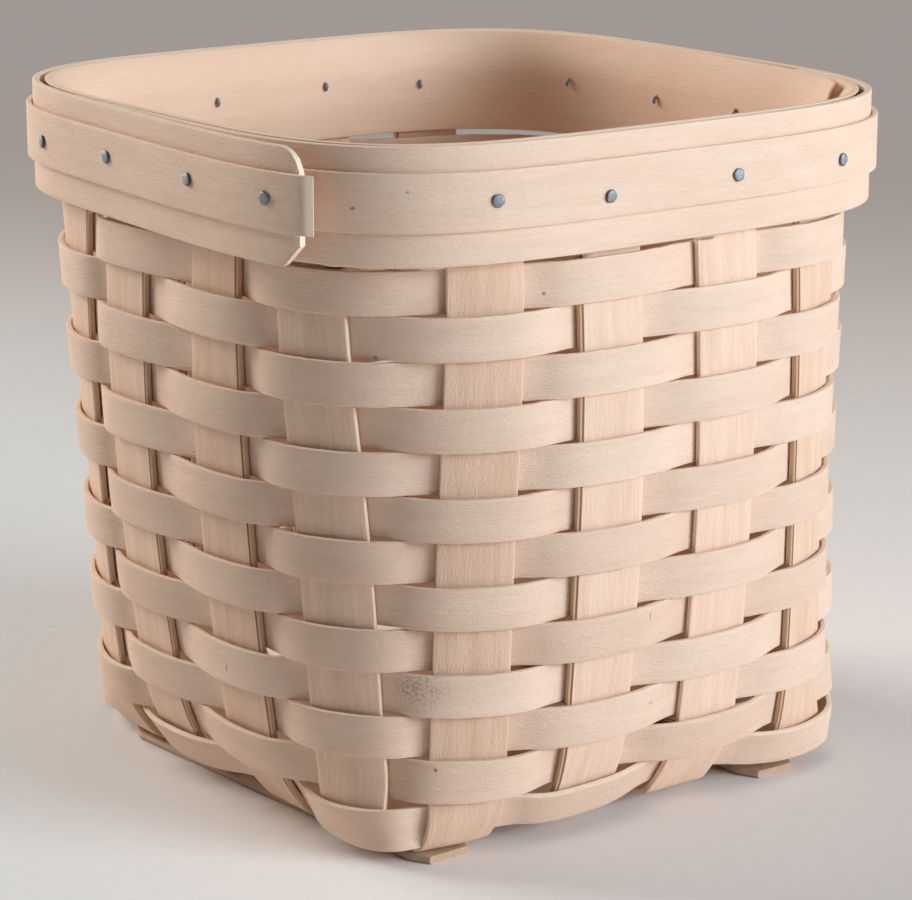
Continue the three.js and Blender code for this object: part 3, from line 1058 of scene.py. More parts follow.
        # Painted shade on the loose ply
        loose_ply_shade = outwards.step(*self.ply_shade_step) * abs(side) * self.ply_shade_strength
        colour = graph.mix(loose_ply_shade, colour, self.ply_shade)
        # The crack, darkened with painted shadow
        line = outwards.step(*self.crack_and_shadow_start) * outwards.step(*self.crack_and_shadow_end)
        return graph.mix(line * abs(side), colour, self.crack_and_shadow)

    def _stained(self, graph: Graph, colour: Signal) -> Signal:
        """Put the finish's stains on the wood.

        Args:
            graph: the material's graph.
            colour: the wood's colour.

        Returns:
            The colour with the stains on it.
        """
        if not self.marks:
            return colour
        place = graph.node("ShaderNodeTexCoord")["Object"]
        speckle = self.SPECKLE.on(graph, place).step(*self.speckle_step)
        for mark in self.marks:
            centre = tuple(value * MM for value in mark.centre)
            reach = tuple(value * MM for value in mark.reach)
            away = graph.vector("DIVIDE", graph.vector("SUBTRACT", place, centre), reach)
            inside = graph.measure("LENGTH", away).step(*self.mark_step)
            if mark.speckled:
                inside = inside * speckle
            colour = graph.mix(inside * mark.strength, colour, self.stain)
        return colour


@dataclass(frozen=True)
class SteelFinish:
    """Blued steel of the tacks, darker at the rims of their heads."""

    name: str = "blued_steel"
    light: Colour = (0.29, 0.32, 0.36, 1.0)
    dark: Colour = (0.08, 0.085, 0.095, 1.0)
    metal: float = 0.55
    roughness: float = 0.45
    roughness_swing: float = 0.2
    rim_step: tuple[float, float] = (0.5, 1.0)
    rim_strength: float = 0.85
    blotch_strength: float = 1.2
    mean_depth: float = 0.1
    bump: float = 0.6
    bump_depth: float = 0.3

    BLOTCHES = Pattern((0.6, 0.6, 0.6), 3.0, 0.6)

    def material(self) -> bpy.types.Material:
        """Build the material.

        Returns:
            The material, which reads the heads' rims from an attribute.
        """
        made, graph = new_material(self.name)
        blotch = self.BLOTCHES.on(graph, graph.node("ShaderNodeTexCoord")["Object"])
        rim = graph.node("ShaderNodeAttribute", {"attribute_name": "rim"})["Fac"]
        depth = rim.step(*self.rim_step) * self.rim_strength + (blotch - 0.5) * self.blotch_strength
        relief = {"Height": blotch, "Strength": self.bump, "Distance": self.bump_depth * MM}
        bump = graph.node("ShaderNodeBump", None, relief)
        end_surface(graph, {
            "Base Color": graph.mix(depth + self.mean_depth, self.light, self.dark),
            "Metallic": self.metal,
            "Roughness": self.roughness + blotch * self.roughness_swing,
            "Normal": bump["Normal"],
        })
        return made


def seen_plainly(graph: Graph) -> Signal:
    """1 for what the camera sees itself or in a gloss, 0 for light that falls on things."""
    ray = graph.node("ShaderNodeLightPath")
    return ray["Is Camera Ray"] + ray["Is Glossy Ray"]


@dataclass(frozen=True)
class FloorFinish:
    """Paper floor whose colour paints light and shade: paler near the camera than behind the basket, cooler
    to the left near it, with painted shade behind it on the left and a plain grey far end.

    Each reach is a pair of distances in metres between which a colour comes in: backwards from the
    basket, to the left of it, or all round it.
    """

    name: str = "paper_floor"
    # Painted light: these colours paint how the lamps' light falls off over the floor
    near: Colour = (0.91, 0.845, 0.805, 1.0)
    near_left: Colour = (0.80, 0.815, 0.82, 1.0)
    left_reach: tuple[float, float] = (0.0, 0.14)
    behind: Colour = (0.60, 0.53, 0.485, 1.0)
    behind_reach: tuple[float, float] = (0.0, 0.75)
    far: Colour = (0.98, 0.90, 0.85, 1.0)
    far_reach: tuple[float, float] = (0.85, 1.45)
    # Painted shade behind the basket on its left
    shaded: Colour = (0.0, 0.0, 0.0, 1.0)
    shaded_back_reach: tuple[float, float] = (0.25, 0.90)
    shaded_left_reach: tuple[float, float] = (-0.30, 0.30)
    shaded_strength: float = 0.3
    fibre: Colour = (0.2, 0.19, 0.18, 1.0)
    fibre_strength: float = 0.10
    horizon: Colour = (0.355, 0.315, 0.295, 1.0)
    horizon_reach: tuple[float, float] = (0.5, 1.15)
    roughness: float = 0.9
    gloss: float = 0.1
    heading: tuple[float, float, float] = (0.597, 0.802, 0.0)
    aside: tuple[float, float, float] = (-0.802, 0.597, 0.0)

    FIBRES = Pattern((4.0, 4.0, 4.0), 4.0, 0.6)

    def material(self) -> bpy.types.Material:
        """Build the material.

        Returns:
            The material, whose colour follows the place on the floor.
        """
        made, graph = new_material(self.name)
        place = graph.node("ShaderNodeTexCoord")["Object"]
        back = graph.measure("DOT_PRODUCT", place, self.heading)
        left = graph.measure("DOT_PRODUCT", place, self.aside)
        # Painted light and shade: the colour follows how the lamps light the floor
        near = graph.mix(left.step(*self.left_reach), self.near, self.near_left)
        colour = graph.mix(back.step(*self.behind_reach), near, self.behind)
        colour = graph.mix(back.step(*self.far_reach), colour, self.far)
        # Painted shade behind the basket on its left
        shade = back.step(*self.shaded_back_reach) * left.step(*self.shaded_left_reach)
        colour = graph.mix(shade * self.shaded_strength, colour, self.shaded)
        fibres = self.FIBRES.on(graph, place) * self.fibre_strength
        colour = graph.mix(fibres, colour, self.fibre)
        surface = {"Base Color": colour, "Roughness": self.roughness, "Specular IOR Level": self.gloss}
        paper = graph.node("ShaderNodeBsdfPrincipled", None, surface)["BSDF"]
        plain = graph.node("ShaderNodeEmission", None, {"Color": self.horizon, "Strength": 1.0})["Emission"]
        distant = graph.measure("LENGTH", place).step(*self.horizon_reach)
        blend = {0: distant * seen_plainly(graph), 1: paper, 2: plain}
        shader = graph.node("ShaderNodeMixShader", None, blend)["Shader"]
        graph.node("ShaderNodeOutputMaterial", None, {"Surface": shader})
        return made


# Sub-assemblies


@dataclass
class Weave:
    """The woven body: stakes up the walls and under the base, and the rows of weavers."""

    wall: Wall
    tree: SplintTree
    stake_finish: WoodFinish
    weaver_finish: WoodFinish
    bulge: float = 0.45
    edge_clear: float = 0.05
    lap_inset: float = 2.0
    lap_stakes: tuple[tuple[int, ...], tuple[int, ...]] = ((7, 9, 5), (6, 8, 10))
    bend_rise: float = 2.0
    base_turn: float = 18.0
    bend_steps: int = 8
    least_flat_part: float = 0.5
    stake_top_below: float = 7.6
    stake_rounding: float = 0.2
    stake_cuts: int = 16
    weaver_rounding: float = 0.18
    weaver_cuts: int = 9
    # Which edge of each stake has split; the finish paints a crack with shadow and a shaded loose ply there
    split_edges: tuple[tuple[float, ...], tuple[float, ...]] = ((0, -1, 0, -1), (1, 1, 1, 0))
    sample: float = 0.75
    edge_drift: float = 0.16
    drift_length: float = 38.0
    width_drift: float = 0.012
    width_length: float = 27.0
    stake_width_length: float = 40.0
    edge_tear: float = 0.008
    tear_length: float = 2.2
    jag_length: float = 1.9
    foot_dip: float = 1.2
    dip_angle: float = math.radians(225)
    dip_power: int = 12
    seed: int = 41

    def build(self) -> list[bpy.types.Object]:
        """Make every stake and weaver.

        Returns:
            The pieces.
        """
        rng = np.random.default_rng(self.seed)
        return [*self.stakes(rng), *self.weavers(rng)]

    def stakes(self, rng: np.random.Generator) -> list[bpy.types.Object]:
        """Make the stakes.

        Args:
            rng: source of their small unevenness and their timber.

        Returns:
            The pieces.
        """
        wood = self.stake_finish.material()
        size = SplintSize(self.wall.stake_width, self.wall.splint, self.stake_rounding, self.stake_cuts)
        pieces = []
        for is_front, split_edges in zip((True, False), self.split_edges):
            kind = "front" if is_front else "side"
            for index, split in enumerate(split_edges):
                path = self.stake_path(index, is_front, rng)
                timber = Timber(rng.uniform(0, TIMBER_LENGTH), rng.uniform(-1, 1), split)
                piece = self.tree.sweep(f"{kind}_stake_{index + 1}", path, size, timber, wood)
                dress(piece, "stake_wood", f"stake_{kind}_{index + 1}")
                pieces.append(piece)
        return pieces

    def weavers(self, rng: np.random.Generator) -> list[bpy.types.Object]:
        """Make the rows of weavers.

        Args:
            rng: source of their small unevenness and their timber.

        Returns:
            The pieces.
        """
        wood = self.weaver_finish.material()
        width = self.wall.pitch - self.wall.seat_gap
        size = SplintSize(width, self.wall.splint, self.weaver_rounding, self.weaver_cuts)
        pieces = []
        for row in range(1, self.wall.rows + 1):
            path = self.weaver_path(row, rng)
            timber = Timber(rng.uniform(0, TIMBER_LENGTH), rng.uniform(-1, 1))
            piece = self.tree.sweep(f"weaver_row_{row:02d}", path, size, timber, wood)
            dress(piece, "weaver_wood", f"weaver_{row:02d}")
            pieces.append(piece)
        return pieces

    def weaver_path(self, row: int, rng: np.random.Generator) -> SplintPath:
        """Line of one row: over one stake and behind the next, its ends lapped behind one stake.

        Args:
            row: number of the row, 1 at the top.
            rng: source of the splint's small unevenness.

        Returns:
            The path.
        """
        wall = self.wall
        middle = (row - 0.5) * wall.pitch
        level = wall.rim_bottom - middle
        plan = wall.plan(np.array(level))
        places = wall.stakes_round(level)
        choices = self.lap_stakes[row % 2]
        lap = choices[(row // 2) % len(choices)]
        count = len(places)
        stops = [places[(lap + i) % count] + FULL_TURN * ((lap + i) // count) for i in range(count + 1)]
        levels = [1.0 if (lap + i + row) % 2 == 0 else -1.0 for i in range(count)] + [-2.0]
        begin = float(plan.step(stops[0][0], self.lap_inset))
        end = float(plan.step(stops[-1][2], -self.lap_inset))
        angle, run = evenly(
            begin, end, lambda fine: wall.point(fine, np.full(fine.shape, level)), self.sample)
        offset = self._in_and_out(angle, stops, levels)

        drift = slow_noise(rng, run, self.drift_length) * self.edge_drift
        if row == wall.rows:
            near_dip = np.maximum(0, np.cos(angle - self.dip_angle))
            drift = drift + self.foot_dip * near_dip ** self.dip_power
        height = wall.height_down(angle, middle + drift)
        points = wall.point(angle, height) + wall.normal(angle, height) * offset[:, None]
        half = wall.pitch / 2
        upper = wall.point(angle, wall.height_down(angle, middle - half))
        lower = wall.point(angle, wall.height_down(angle, middle + half))
        along = np.gradient(points, axis=0)
        outward = unit(np.cross(along, upper - lower))
        wider = slow_noise(rng, run, self.width_length) * self.width_drift
        torn = slow_noise(rng, run, self.tear_length) * self.edge_tear
        shift = slow_noise(rng, run, self.jag_length) * self.edge_tear * half
        return SplintPath(points, outward, scale=1 + wider + torn, shift=shift)

    def _in_and_out(self, angle: Array, stops: Sequence[Array], levels: Sequence[float]) -> Array:
        """How far a weaver's middle lies outside the stakes' middles at each angle.

        Args:
            angle: angles round the basket.
            stops: first edge, middle and last edge of each stake that the weaver passes.
            levels: 1 over a stake, -1 behind it, -2 behind it and behind the weaver's own start.

        Returns:
            The offsets: an arch at each stake that meets its neighbours half way across the gaps.
        """
        step = self.wall.step_out
        offset = np.zeros_like(angle)
        for i, (stop, level) in enumerate(zip(stops, levels)):
            seat = level * step + math.copysign(self.edge_clear, level)
            crown = level * step + math.copysign(self.bulge, level)
            for other in (i - 1, i + 1):
                if not 0 <= other < len(stops):
                    continue
                towards = 1 if other > i else -1
                edge = stop[2] if towards > 0 else stop[0]
                facing = stops[other][0] if towards > 0 else stops[other][2]
                gap_middle = (edge + facing) / 2
                meeting = (level + levels[other]) / 2 * step
                at_edge = (edge - stop[1]) / (gap_middle - stop[1])
                power = math.log((crown - seat) / (crown - meeting)) / math.log(at_edge)
                share = (angle - stop[1]) / (gap_middle - stop[1])
                here = (share >= 0) & (share <= 1)
                offset[here] = crown - (crown - meeting) * share[here] ** power
            if i in (0, len(stops) - 1):
                outer = angle < stop[1] if i == 0 else angle > stop[1]
                offset[outer] = crown
        return offset

    def crossing_height(self, front: int, side: int, is_front: bool) -> float:
        """Height of a stake's middle in the base where it crosses a stake of the other set.

        Args:
            front: number of the stake from front to back.
            side: number of the stake from side to side.
            is_front: whether the height is the first one's.

        Returns:
            The height.
        """
        step = self.wall.step_out / 2
        middle = self.wall.base_lift + step + self.wall.splint / 2
        side_is_under = (front + side) % 2 == 0
        return middle + (step if side_is_under == is_front else -step)

    def stake_path(self, index: int, is_front: bool, rng: np.random.Generator) -> SplintPath:
        """Line of a stake: down one wall, round the bend, through the base and up the far wall.

        Args:
            index: number of the stake in its set.
            is_front: whether it runs from front to back.
            rng: source of the splint's small unevenness.

        Returns:
            The path.
        """
        wall = self.wall
        stake = (wall.front_stakes if is_front else wall.side_stakes)[index]
        others = wall.side_stakes if is_front else wall.front_stakes
        crossings = []
        for j, other in enumerate(others):
            front, side = (index, j) if is_front else (j, index)
            crossings.append((other.base, self.crossing_height(front, side, is_front)))
        crossings.sort()
        walls = (Side.FRONT, Side.BACK) if is_front else (Side.LEFT, Side.RIGHT)
        near = self._stake_end(stake, walls[0], crossings[0][1], is_front, 1.0)
        far = self._stake_end(stake, walls[1], crossings[-1][1], is_front, -1.0)
        axis = 1 if is_front else 0
        reach = wall.stake_width / 2 + 2 * wall.seat_gap
        stops, heights = [], []
        for along, height in crossings:
            stops += [along - reach, along + reach]
            heights += [height, height]
        along = np.arange(near[0][-1, axis] + self.sample, far[0][-1, axis], self.sample)
        height = self._between(along, stops, heights)
        points = np.zeros((len(along), 3))
        points[:, axis] = along
        points[:, 1 - axis] = stake.base
        for end in (near[0][-1], far[0][-1]):
            turned = 1 - smooth(np.abs(along - end[axis]), 0, self.base_turn)
            points[:, 1 - axis] += (end[1 - axis] - stake.base) * turned
        points[:, 2] = height
        outward = np.zeros_like(points)
        outward[:, axis] = np.gradient(height, along)
        outward[:, 2] = -1.0
        points = np.concatenate([near[0], points, far[0][::-1]])
        outward = unit(np.concatenate([near[1], outward, far[1][::-1]]))
        sag = np.concatenate([near[2], np.zeros(len(along)), far[2][::-1]])
        run = running_length(points)
        scale = 1 + slow_noise(rng, run, self.stake_width_length) * self.width_drift
        return SplintPath(points, outward, sag=sag, scale=scale)

    def _between(self, along: Array, stops: Sequence[float], heights: Sequence[float]) -> Array:
        """Heights that ease from one stop to the next.

        Args:
            along: places along the stake.
            stops: places where a height is given, rising.
            heights: the height at each of them.

        Returns:
            The height at each place.
        """
        result = np.full(along.shape, heights[0])
        for start, end, low, high in zip(stops, stops[1:], heights, heights[1:]):
            here = along >= start
            result[here] = low + (high - low) * smooth(along[here], start, end)
        return result

    def _stake_end(self, stake: Stake, side: Side, base: float, is_front: bool,
                   inwards: float) -> tuple[Array, Array, Array]:
        """One end of a stake, from its top down the wall and round the bend into the base.

        Args:
            stake: the stake.
            side: the wall that it goes down.
            base: height of its middle where it meets the base.
            is_front: whether it runs from front to back.
            inwards: sign of the direction towards the basket's middle along the stake.

        Returns:
            Points, outward directions and the edges' sag.
        """
        wall = self.wall
        bend_top = base + self.bend_rise
        above = np.arange(wall.top - self.stake_top_below, wall.rim_bottom, -self.sample)
        nominal = np.arange(0, wall.weave_height, self.sample)
        middle = wall.stake_angles(side, stake, wall.rim_bottom - nominal)[1]
        below = wall.height_down(middle, nominal)
        z = np.concatenate([above, below[below > bend_top + self.sample], [bend_top]])
        first, middle, last = wall.stake_angles(side, stake, z)
        points = wall.point(middle, z)
        outward = wall.normal(middle, z)
        sag = dot((wall.point(first, z) + wall.point(last, z)) / 2 - points, outward)

        axis = 1 if is_front else 0
        begin, normal = points[-1], outward[-1]
        share = np.linspace(0, 1, self.bend_steps + 1)[1:]
        slope = -normal[2] / math.hypot(normal[0], normal[1])
        flat_part = 1 - normal[2] ** 2
        knee = begin[axis] + inwards * self.bend_rise * slope
        flat = knee + inwards * self.bend_rise / max(flat_part, self.least_flat_part)
        bend = np.zeros((len(share), 3))
        bend[:, axis] = (1 - share) ** 2 * begin[axis] + 2 * share * (1 - share) * knee + share ** 2 * flat
        bend[:, 1 - axis] = begin[1 - axis]
        bend[:, 2] = base + (1 - share) ** 2 * self.bend_rise
        turned = normal * (1 - share)[:, None] + np.array([0.0, 0.0, -1.0]) * share[:, None]
        points = np.concatenate([points, bend])
        outward = unit(np.concatenate([outward, turned]))
        return points, outward, np.concatenate([sag, sag[-1] * (1 - share)])


@dataclass
class Rim:
    """The nailed rim: a hoop and an outer band outside the stakes, an inner band, and a trim strip."""

    wall: Wall
    tree: SplintTree
    finish: WoodFinish
    inner_painted_light_finish: WoodFinish
    hoop_finish: WoodFinish
    band_thickness: float = 1.6
    band_height: float = 24.2
    band_squareness: float = 4.1
    band_rounding: float = 0.35
    band_cuts: int = 20
    outer_tone: float = -0.1
    inner_tone: float = 0.1
    trim_thickness: float = 1.2
    trim_height: float = 12.0
    trim_above_middle: float = 1.0
    trim_rounding: float = 0.2
    trim_cuts: int = 12
    trim_tone: float = 0.0
    hoop_height: float = 8.6
    hoop_below_band: float = 0.5
    hoop_rounding: float = 0.15
    hoop_cuts: int = 10
    hoop_tone: float = 0.2
    hoop_joint: int = 9
    rim_crack: float = 1.0
    outer_lap: tuple[float, float] = (-41.0, -54.6)
    inner_lap: tuple[float, float] = (-33.0, -55.0)
    lap_clear: float = 1.0
    outer_slope: float = 75.0
    inner_slope: float = 42.0
    end_top_cut: float = 5.5
    end_bottom_cut: float = 4.5
    end_pale: tuple[float, float] = (1.5, 0.7)
    trim_past_band: float = 2.6
    bevel_length: float = 1.9
    bevel_depth: float = 0.85
    bevel_blur: float = 0.5
    thin_end: float = 0.04
    thin_start: float = 0.12
    end_spring: float = 3.2
    spring_length: float = 34.0
    spring_past: float = 1.1
    feather: float = 12.0
    feather_shave: float = 0.65
    feather_flare: float = 0.4
    tear_angle: float = math.radians(-135)
    tear_half: float = math.radians(9)
    tear_full: float = 0.8
    tear_drop: float = 0.7
    tear_ragged: float = 0.25
    tear_length: float = 2.4
    sample: float = 0.8
    seed: int = 23

    def __post_init__(self) -> None:
        """Work out heights, offsets from the stakes' middles, and the angles of the laps."""
        wall = self.wall
        gap = wall.seat_gap
        self.band_bottom = wall.top - self.band_height
        self.band_middle = self.band_bottom + self.band_height / 2
        self.plan = wall.plan(np.array(wall.top))
        self.outer_plan = Plan(self.plan.half, np.array(self.band_squareness), self.plan.x, self.plan.y)
        self.outer_offset = wall.splint * 1.5 + 2 * gap + self.band_thickness / 2
        self.trim_offset = self.outer_offset + self.band_thickness / 2 + gap + self.trim_thickness / 2
        self.inner_offset = -(wall.splint / 2 + gap + self.band_thickness / 2)
        self.inner_top_offset = self.outer_offset - self.band_thickness - self.rim_crack
        self.outer_lift = self.band_thickness + self.trim_thickness + 2 * gap
        self.inner_lift = -(self.band_thickness + gap)
        clear = self.lap_clear + 2 * gap
        outer, inner = self.outer_plan, self.plan
        self.outer_hidden = float(outer.angle(Side.LEFT, self.outer_lap[0])) + FULL_TURN
        self.outer_showing = float(outer.angle(Side.LEFT, self.outer_lap[1])) + FULL_TURN
        self.outer_slope_end = float(outer.step(self.outer_hidden, -clear))
        self.outer_slope_start = float(outer.step(self.outer_slope_end, -self.outer_slope))
        self.spring_start = float(outer.step(self.outer_showing, -self.spring_length))
        self.inner_showing = float(inner.angle(Side.RIGHT, self.inner_lap[1]))
        self.inner_hidden = float(inner.angle(Side.RIGHT, self.inner_lap[0]))
        self.inner_slope_start = float(inner.step(self.inner_hidden, clear))
        self.inner_slope_end = float(inner.step(self.inner_slope_start, self.inner_slope))

    def outer_rise(self, angle: Array) -> Array:
        """How far the outer strips stand off over their hidden ends.

        Args:
            angle: angles round the rim.

        Returns:
            The distance at each angle, with the spring of the showing ends.
        """
        lapped = self.outer_lift * smooth(angle, self.outer_slope_start, self.outer_slope_end)
        free = (angle - self.spring_start) / (self.outer_showing - self.spring_start)
        free = np.clip(free, 0, self.spring_past)
        return lapped + self.end_spring * free ** 2

    def hidden_share(self, angle: Array) -> Array:
        """Share of their thickness that the outer strips keep, thinned where they begin under the lap."""
        start, end = self.outer_slope_start - FULL_TURN, self.outer_slope_end - FULL_TURN
        return np.maximum(self.thin_end, smooth(angle, start, end))

    def band_rise(self, angle: Array) -> Array:
        """How far the outer band's middle stands off, flat on the hoop where it is thinned."""
        return self.outer_rise(angle) - (1 - self.hidden_share(angle)) * self.band_thickness / 2

    def trim_rise(self, angle: Array) -> Array:
        """How far the trim's middle stands off, lying on the band where both are thinned."""
        depth = self.band_thickness + self.wall.seat_gap + self.trim_thickness / 2
        return self.outer_rise(angle) - (1 - self.hidden_share(angle)) * depth

    def inner_rise(self, angle: Array) -> Array:
        """How far the inner band stands in over its hidden end."""
        return self.inner_lift * (1 - smooth(angle, self.inner_slope_start, self.inner_slope_end))

    def build(self) -> list[bpy.types.Object]:
        """Make both bands, the trim and the hoop.

        Returns:
            The pieces.
        """
        rng = np.random.default_rng(self.seed)
        return [*self.bands(rng), self.hoop(rng)]

    def bands(self, rng: np.random.Generator) -> list[bpy.types.Object]:
        """Make both bands and the trim.

        Args:
            rng: source of their timber.

        Returns:
            The pieces.
        """
        # The inner band's finish has painted warm light for the inside of the basket
        wood, inside = self.finish.material(), self.inner_painted_light_finish.material()
        band = SplintSize(self.band_height, self.band_thickness, self.band_rounding, self.band_cuts)
        trim = SplintSize(self.trim_height, self.trim_thickness, self.trim_rounding, self.trim_cuts)
        slope = self.outer_slope_end - self.outer_slope_start
        start = self.outer_slope_start + self.thin_start * slope - FULL_TURN
        trim_end = float(self.outer_plan.step(self.outer_showing, self.trim_past_band))
        outer_path = self.path(self.outer_plan, self.outer_offset, start, self.outer_showing,
                               self.band_rise, self.band_middle)
        self.cut_end(outer_path)
        inner_path = self.path(self.plan, self.inner_offset, self.inner_showing,
                               self.inner_hidden + FULL_TURN, self.inner_rise, self.band_middle)
        trim_path = self.path(self.outer_plan, self.trim_offset, start, trim_end,
                              self.trim_rise, self.band_middle + self.trim_above_middle)
        self.tear_end(trim_path)
        strips = (
            ("outer_band", "band_outer", outer_path, band, self.outer_tone, wood),
            ("inner_band", "band_inner", inner_path, band, self.inner_tone, inside),
            ("trim_strip", "band_trim", trim_path, trim, self.trim_tone, wood),
        )
        pieces = []
        for name, node, path, size, tone, material in strips:
            timber = Timber(rng.uniform(0, TIMBER_LENGTH), tone)
            piece = self.tree.sweep(name, path, size, timber, material)
            dress(piece, "rim_wood", node)
            pieces.append(piece)
        return pieces

    def hoop(self, rng: np.random.Generator) -> bpy.types.Object:
        """Make the row under the bands, whose lower edge is torn along one stretch.

        Args:
            rng: source of the torn edge and the timber.

        Returns:
            The piece.
        """
        size = SplintSize(self.hoop_height, self.wall.splint, self.hoop_rounding, self.hoop_cuts)
        joint = float(self.wall.stakes_round(self.wall.top)[self.hoop_joint][1])
        end = float(self.plan.step(joint, -2 * self.wall.seat_gap))
        middle = self.band_bottom - self.hoop_below_band + self.hoop_height / 2
        path = self.path(self.plan, self.wall.step_out, joint - FULL_TURN, end, np.zeros_like, middle)
        around = np.arctan2(path.points[:, 1], path.points[:, 0])
        aside = np.abs(around - self.tear_angle)
        torn = 1 - smooth(aside, self.tear_full * self.tear_half, self.tear_half)
        ragged = slow_noise(rng, running_length(path.points), self.tear_length)
        path.pale = torn
        path.shift = -self.tear_drop * torn * (1 - self.tear_ragged + self.tear_ragged * ragged)
        timber = Timber(rng.uniform(0, TIMBER_LENGTH), self.hoop_tone)
        piece = self.tree.sweep("rim_hoop", path, size, timber, self.hoop_finish.material())
        dress(piece, "weaver_wood", "weaver_rim")
        return piece

    def path(self, plan: Plan, offset: float, start: float, end: float, rise: Callable[[Array], Array],
             height: float) -> SplintPath:
        """Line of a rim strip.

        Args:
            plan: the plan that it follows.
            offset: distance of its middle outside the plan.
            start: angle of its beginning.
            end: angle of its end.
            rise: extra distance outwards at each angle.
            height: height of its middle.

        Returns:
            The path.
        """
        angle, run = evenly(start, end, plan.line, self.sample)
        level = np.full(angle.shape, height)
        points = plan.point(angle, offset + rise(angle), level)
        along = np.gradient(points, axis=0)
        outward = unit(np.cross(along, np.array([0.0, 0.0, 1.0])))
        made = SplintPath(points, outward)
        if plan is self.outer_plan:
            made.shaved = 1 - self.hidden_share(angle)
        if offset == self.inner_offset:
            top = self.outer_plan.point(angle, self.inner_top_offset + rise(angle), level)
            near_end = 1 - smooth(run, 0, self.feather)
            made.flare = dot(top - points, outward) * (1 - self.feather_flare * near_end)
            made.shaved = self.feather_shave * near_end
        return made

    def tear_end(self, path: SplintPath) -> None:
        """Bevel the trim's showing end down to the band, as a pale torn place.

        Args:
            path: the trim's line, which is changed.
        """
        run = running_length(path.points)
        left = run[-1] - run
        bevel = self.bevel_depth * np.clip(1 - left / self.bevel_length, 0, 1)
        begin = -self.bevel_length
        path.pale = smooth(-left, begin - self.bevel_blur, begin + self.bevel_blur)
        path.shaved = np.maximum(path.shaved, bevel)
        path.points = path.points - path.outward * (bevel * self.trim_thickness / 2)[:, None]

    def cut_end(self, path: SplintPath) -> None:
        """Round off the outer band's showing end above and cut it away below.

        Args:
            path: the band's line, which is changed.
        """
        run = running_length(path.points)
        left = run[-1] - run
        share = np.clip(1 - left / self.end_top_cut, 0, NEARLY_ALL)
        top_drop = self.end_top_cut * (1 - np.sqrt(1 - share * share))
        bottom_rise = np.maximum(0, self.end_bottom_cut - left)
        path.scale = 1 - (top_drop + bottom_rise) / self.band_height
        path.shift = (bottom_rise - top_drop) / 2
        pale_start, pale_end = self.end_pale
        path.pale = smooth(-left, -pale_start, -pale_end)


@dataclass(frozen=True)
class RunnerPlace:
    """Where a runner ends and where its middle lies at each end, as shares of the base's half-width."""

    side: str
    front_end: float
    back_end: float
    front_middle: float
    back_middle: float


@dataclass
class Runners:
    """Two flat strips under the base from front to back, their corners cut off."""

    wall: Wall
    tree: SplintTree
    finish: WoodFinish
    width: float = 15.3
    corner_across: float = 2.4
    corner_along: float = 4.6
    rounding: float = 0.75
    cuts: int = 12
    tone: float = 1.0
    places: tuple[RunnerPlace, ...] = (
        RunnerPlace("left", -0.918, 0.62, -0.674, -0.754), RunnerPlace("right", -0.951, 0.62, 0.6, 0.6))
    sample: float = 0.8
    seed: int = 61

    def build(self) -> list[bpy.types.Object]:
        """Make both runners.

        Returns:
            The pieces.
        """
        rng = np.random.default_rng(self.seed)
        wood = self.finish.material()
        size = SplintSize(self.width, self.wall.runner_thickness, self.rounding, self.cuts)
        pieces = []
        for place in self.places:
            timber = Timber(rng.uniform(0, TIMBER_LENGTH), self.tone)
            piece = self.tree.sweep(f"{place.side}_runner", self.path(place), size, timber, wood)
            dress(piece, "stake_wood", f"runner_{place.side}")
            pieces.append(piece)
        return pieces

    def path(self, place: RunnerPlace) -> SplintPath:
        """Line of a runner from front to back, narrower at its ends.

        Args:
            place: where the runner lies.

        Returns:
            The path.
        """
        base = self.wall.half[2]
        length = (place.back_end - place.front_end) * base
        gone = np.linspace(0, length, int(length / self.sample))
        share = gone / length
        x = (place.front_middle + (place.back_middle - place.front_middle) * share) * base
        y = place.front_end * base + gone
        points = np.stack([x, y, np.full(y.shape, self.wall.runner_thickness / 2)], axis=-1)
        outward = np.tile([0.0, 0.0, -1.0], (len(y), 1))
        from_end = np.minimum(gone, length - gone)
        cut = np.maximum(0, 1 - from_end / self.corner_along) * self.corner_across
        return SplintPath(points, outward, scale=1 - cut * 2 / self.width)


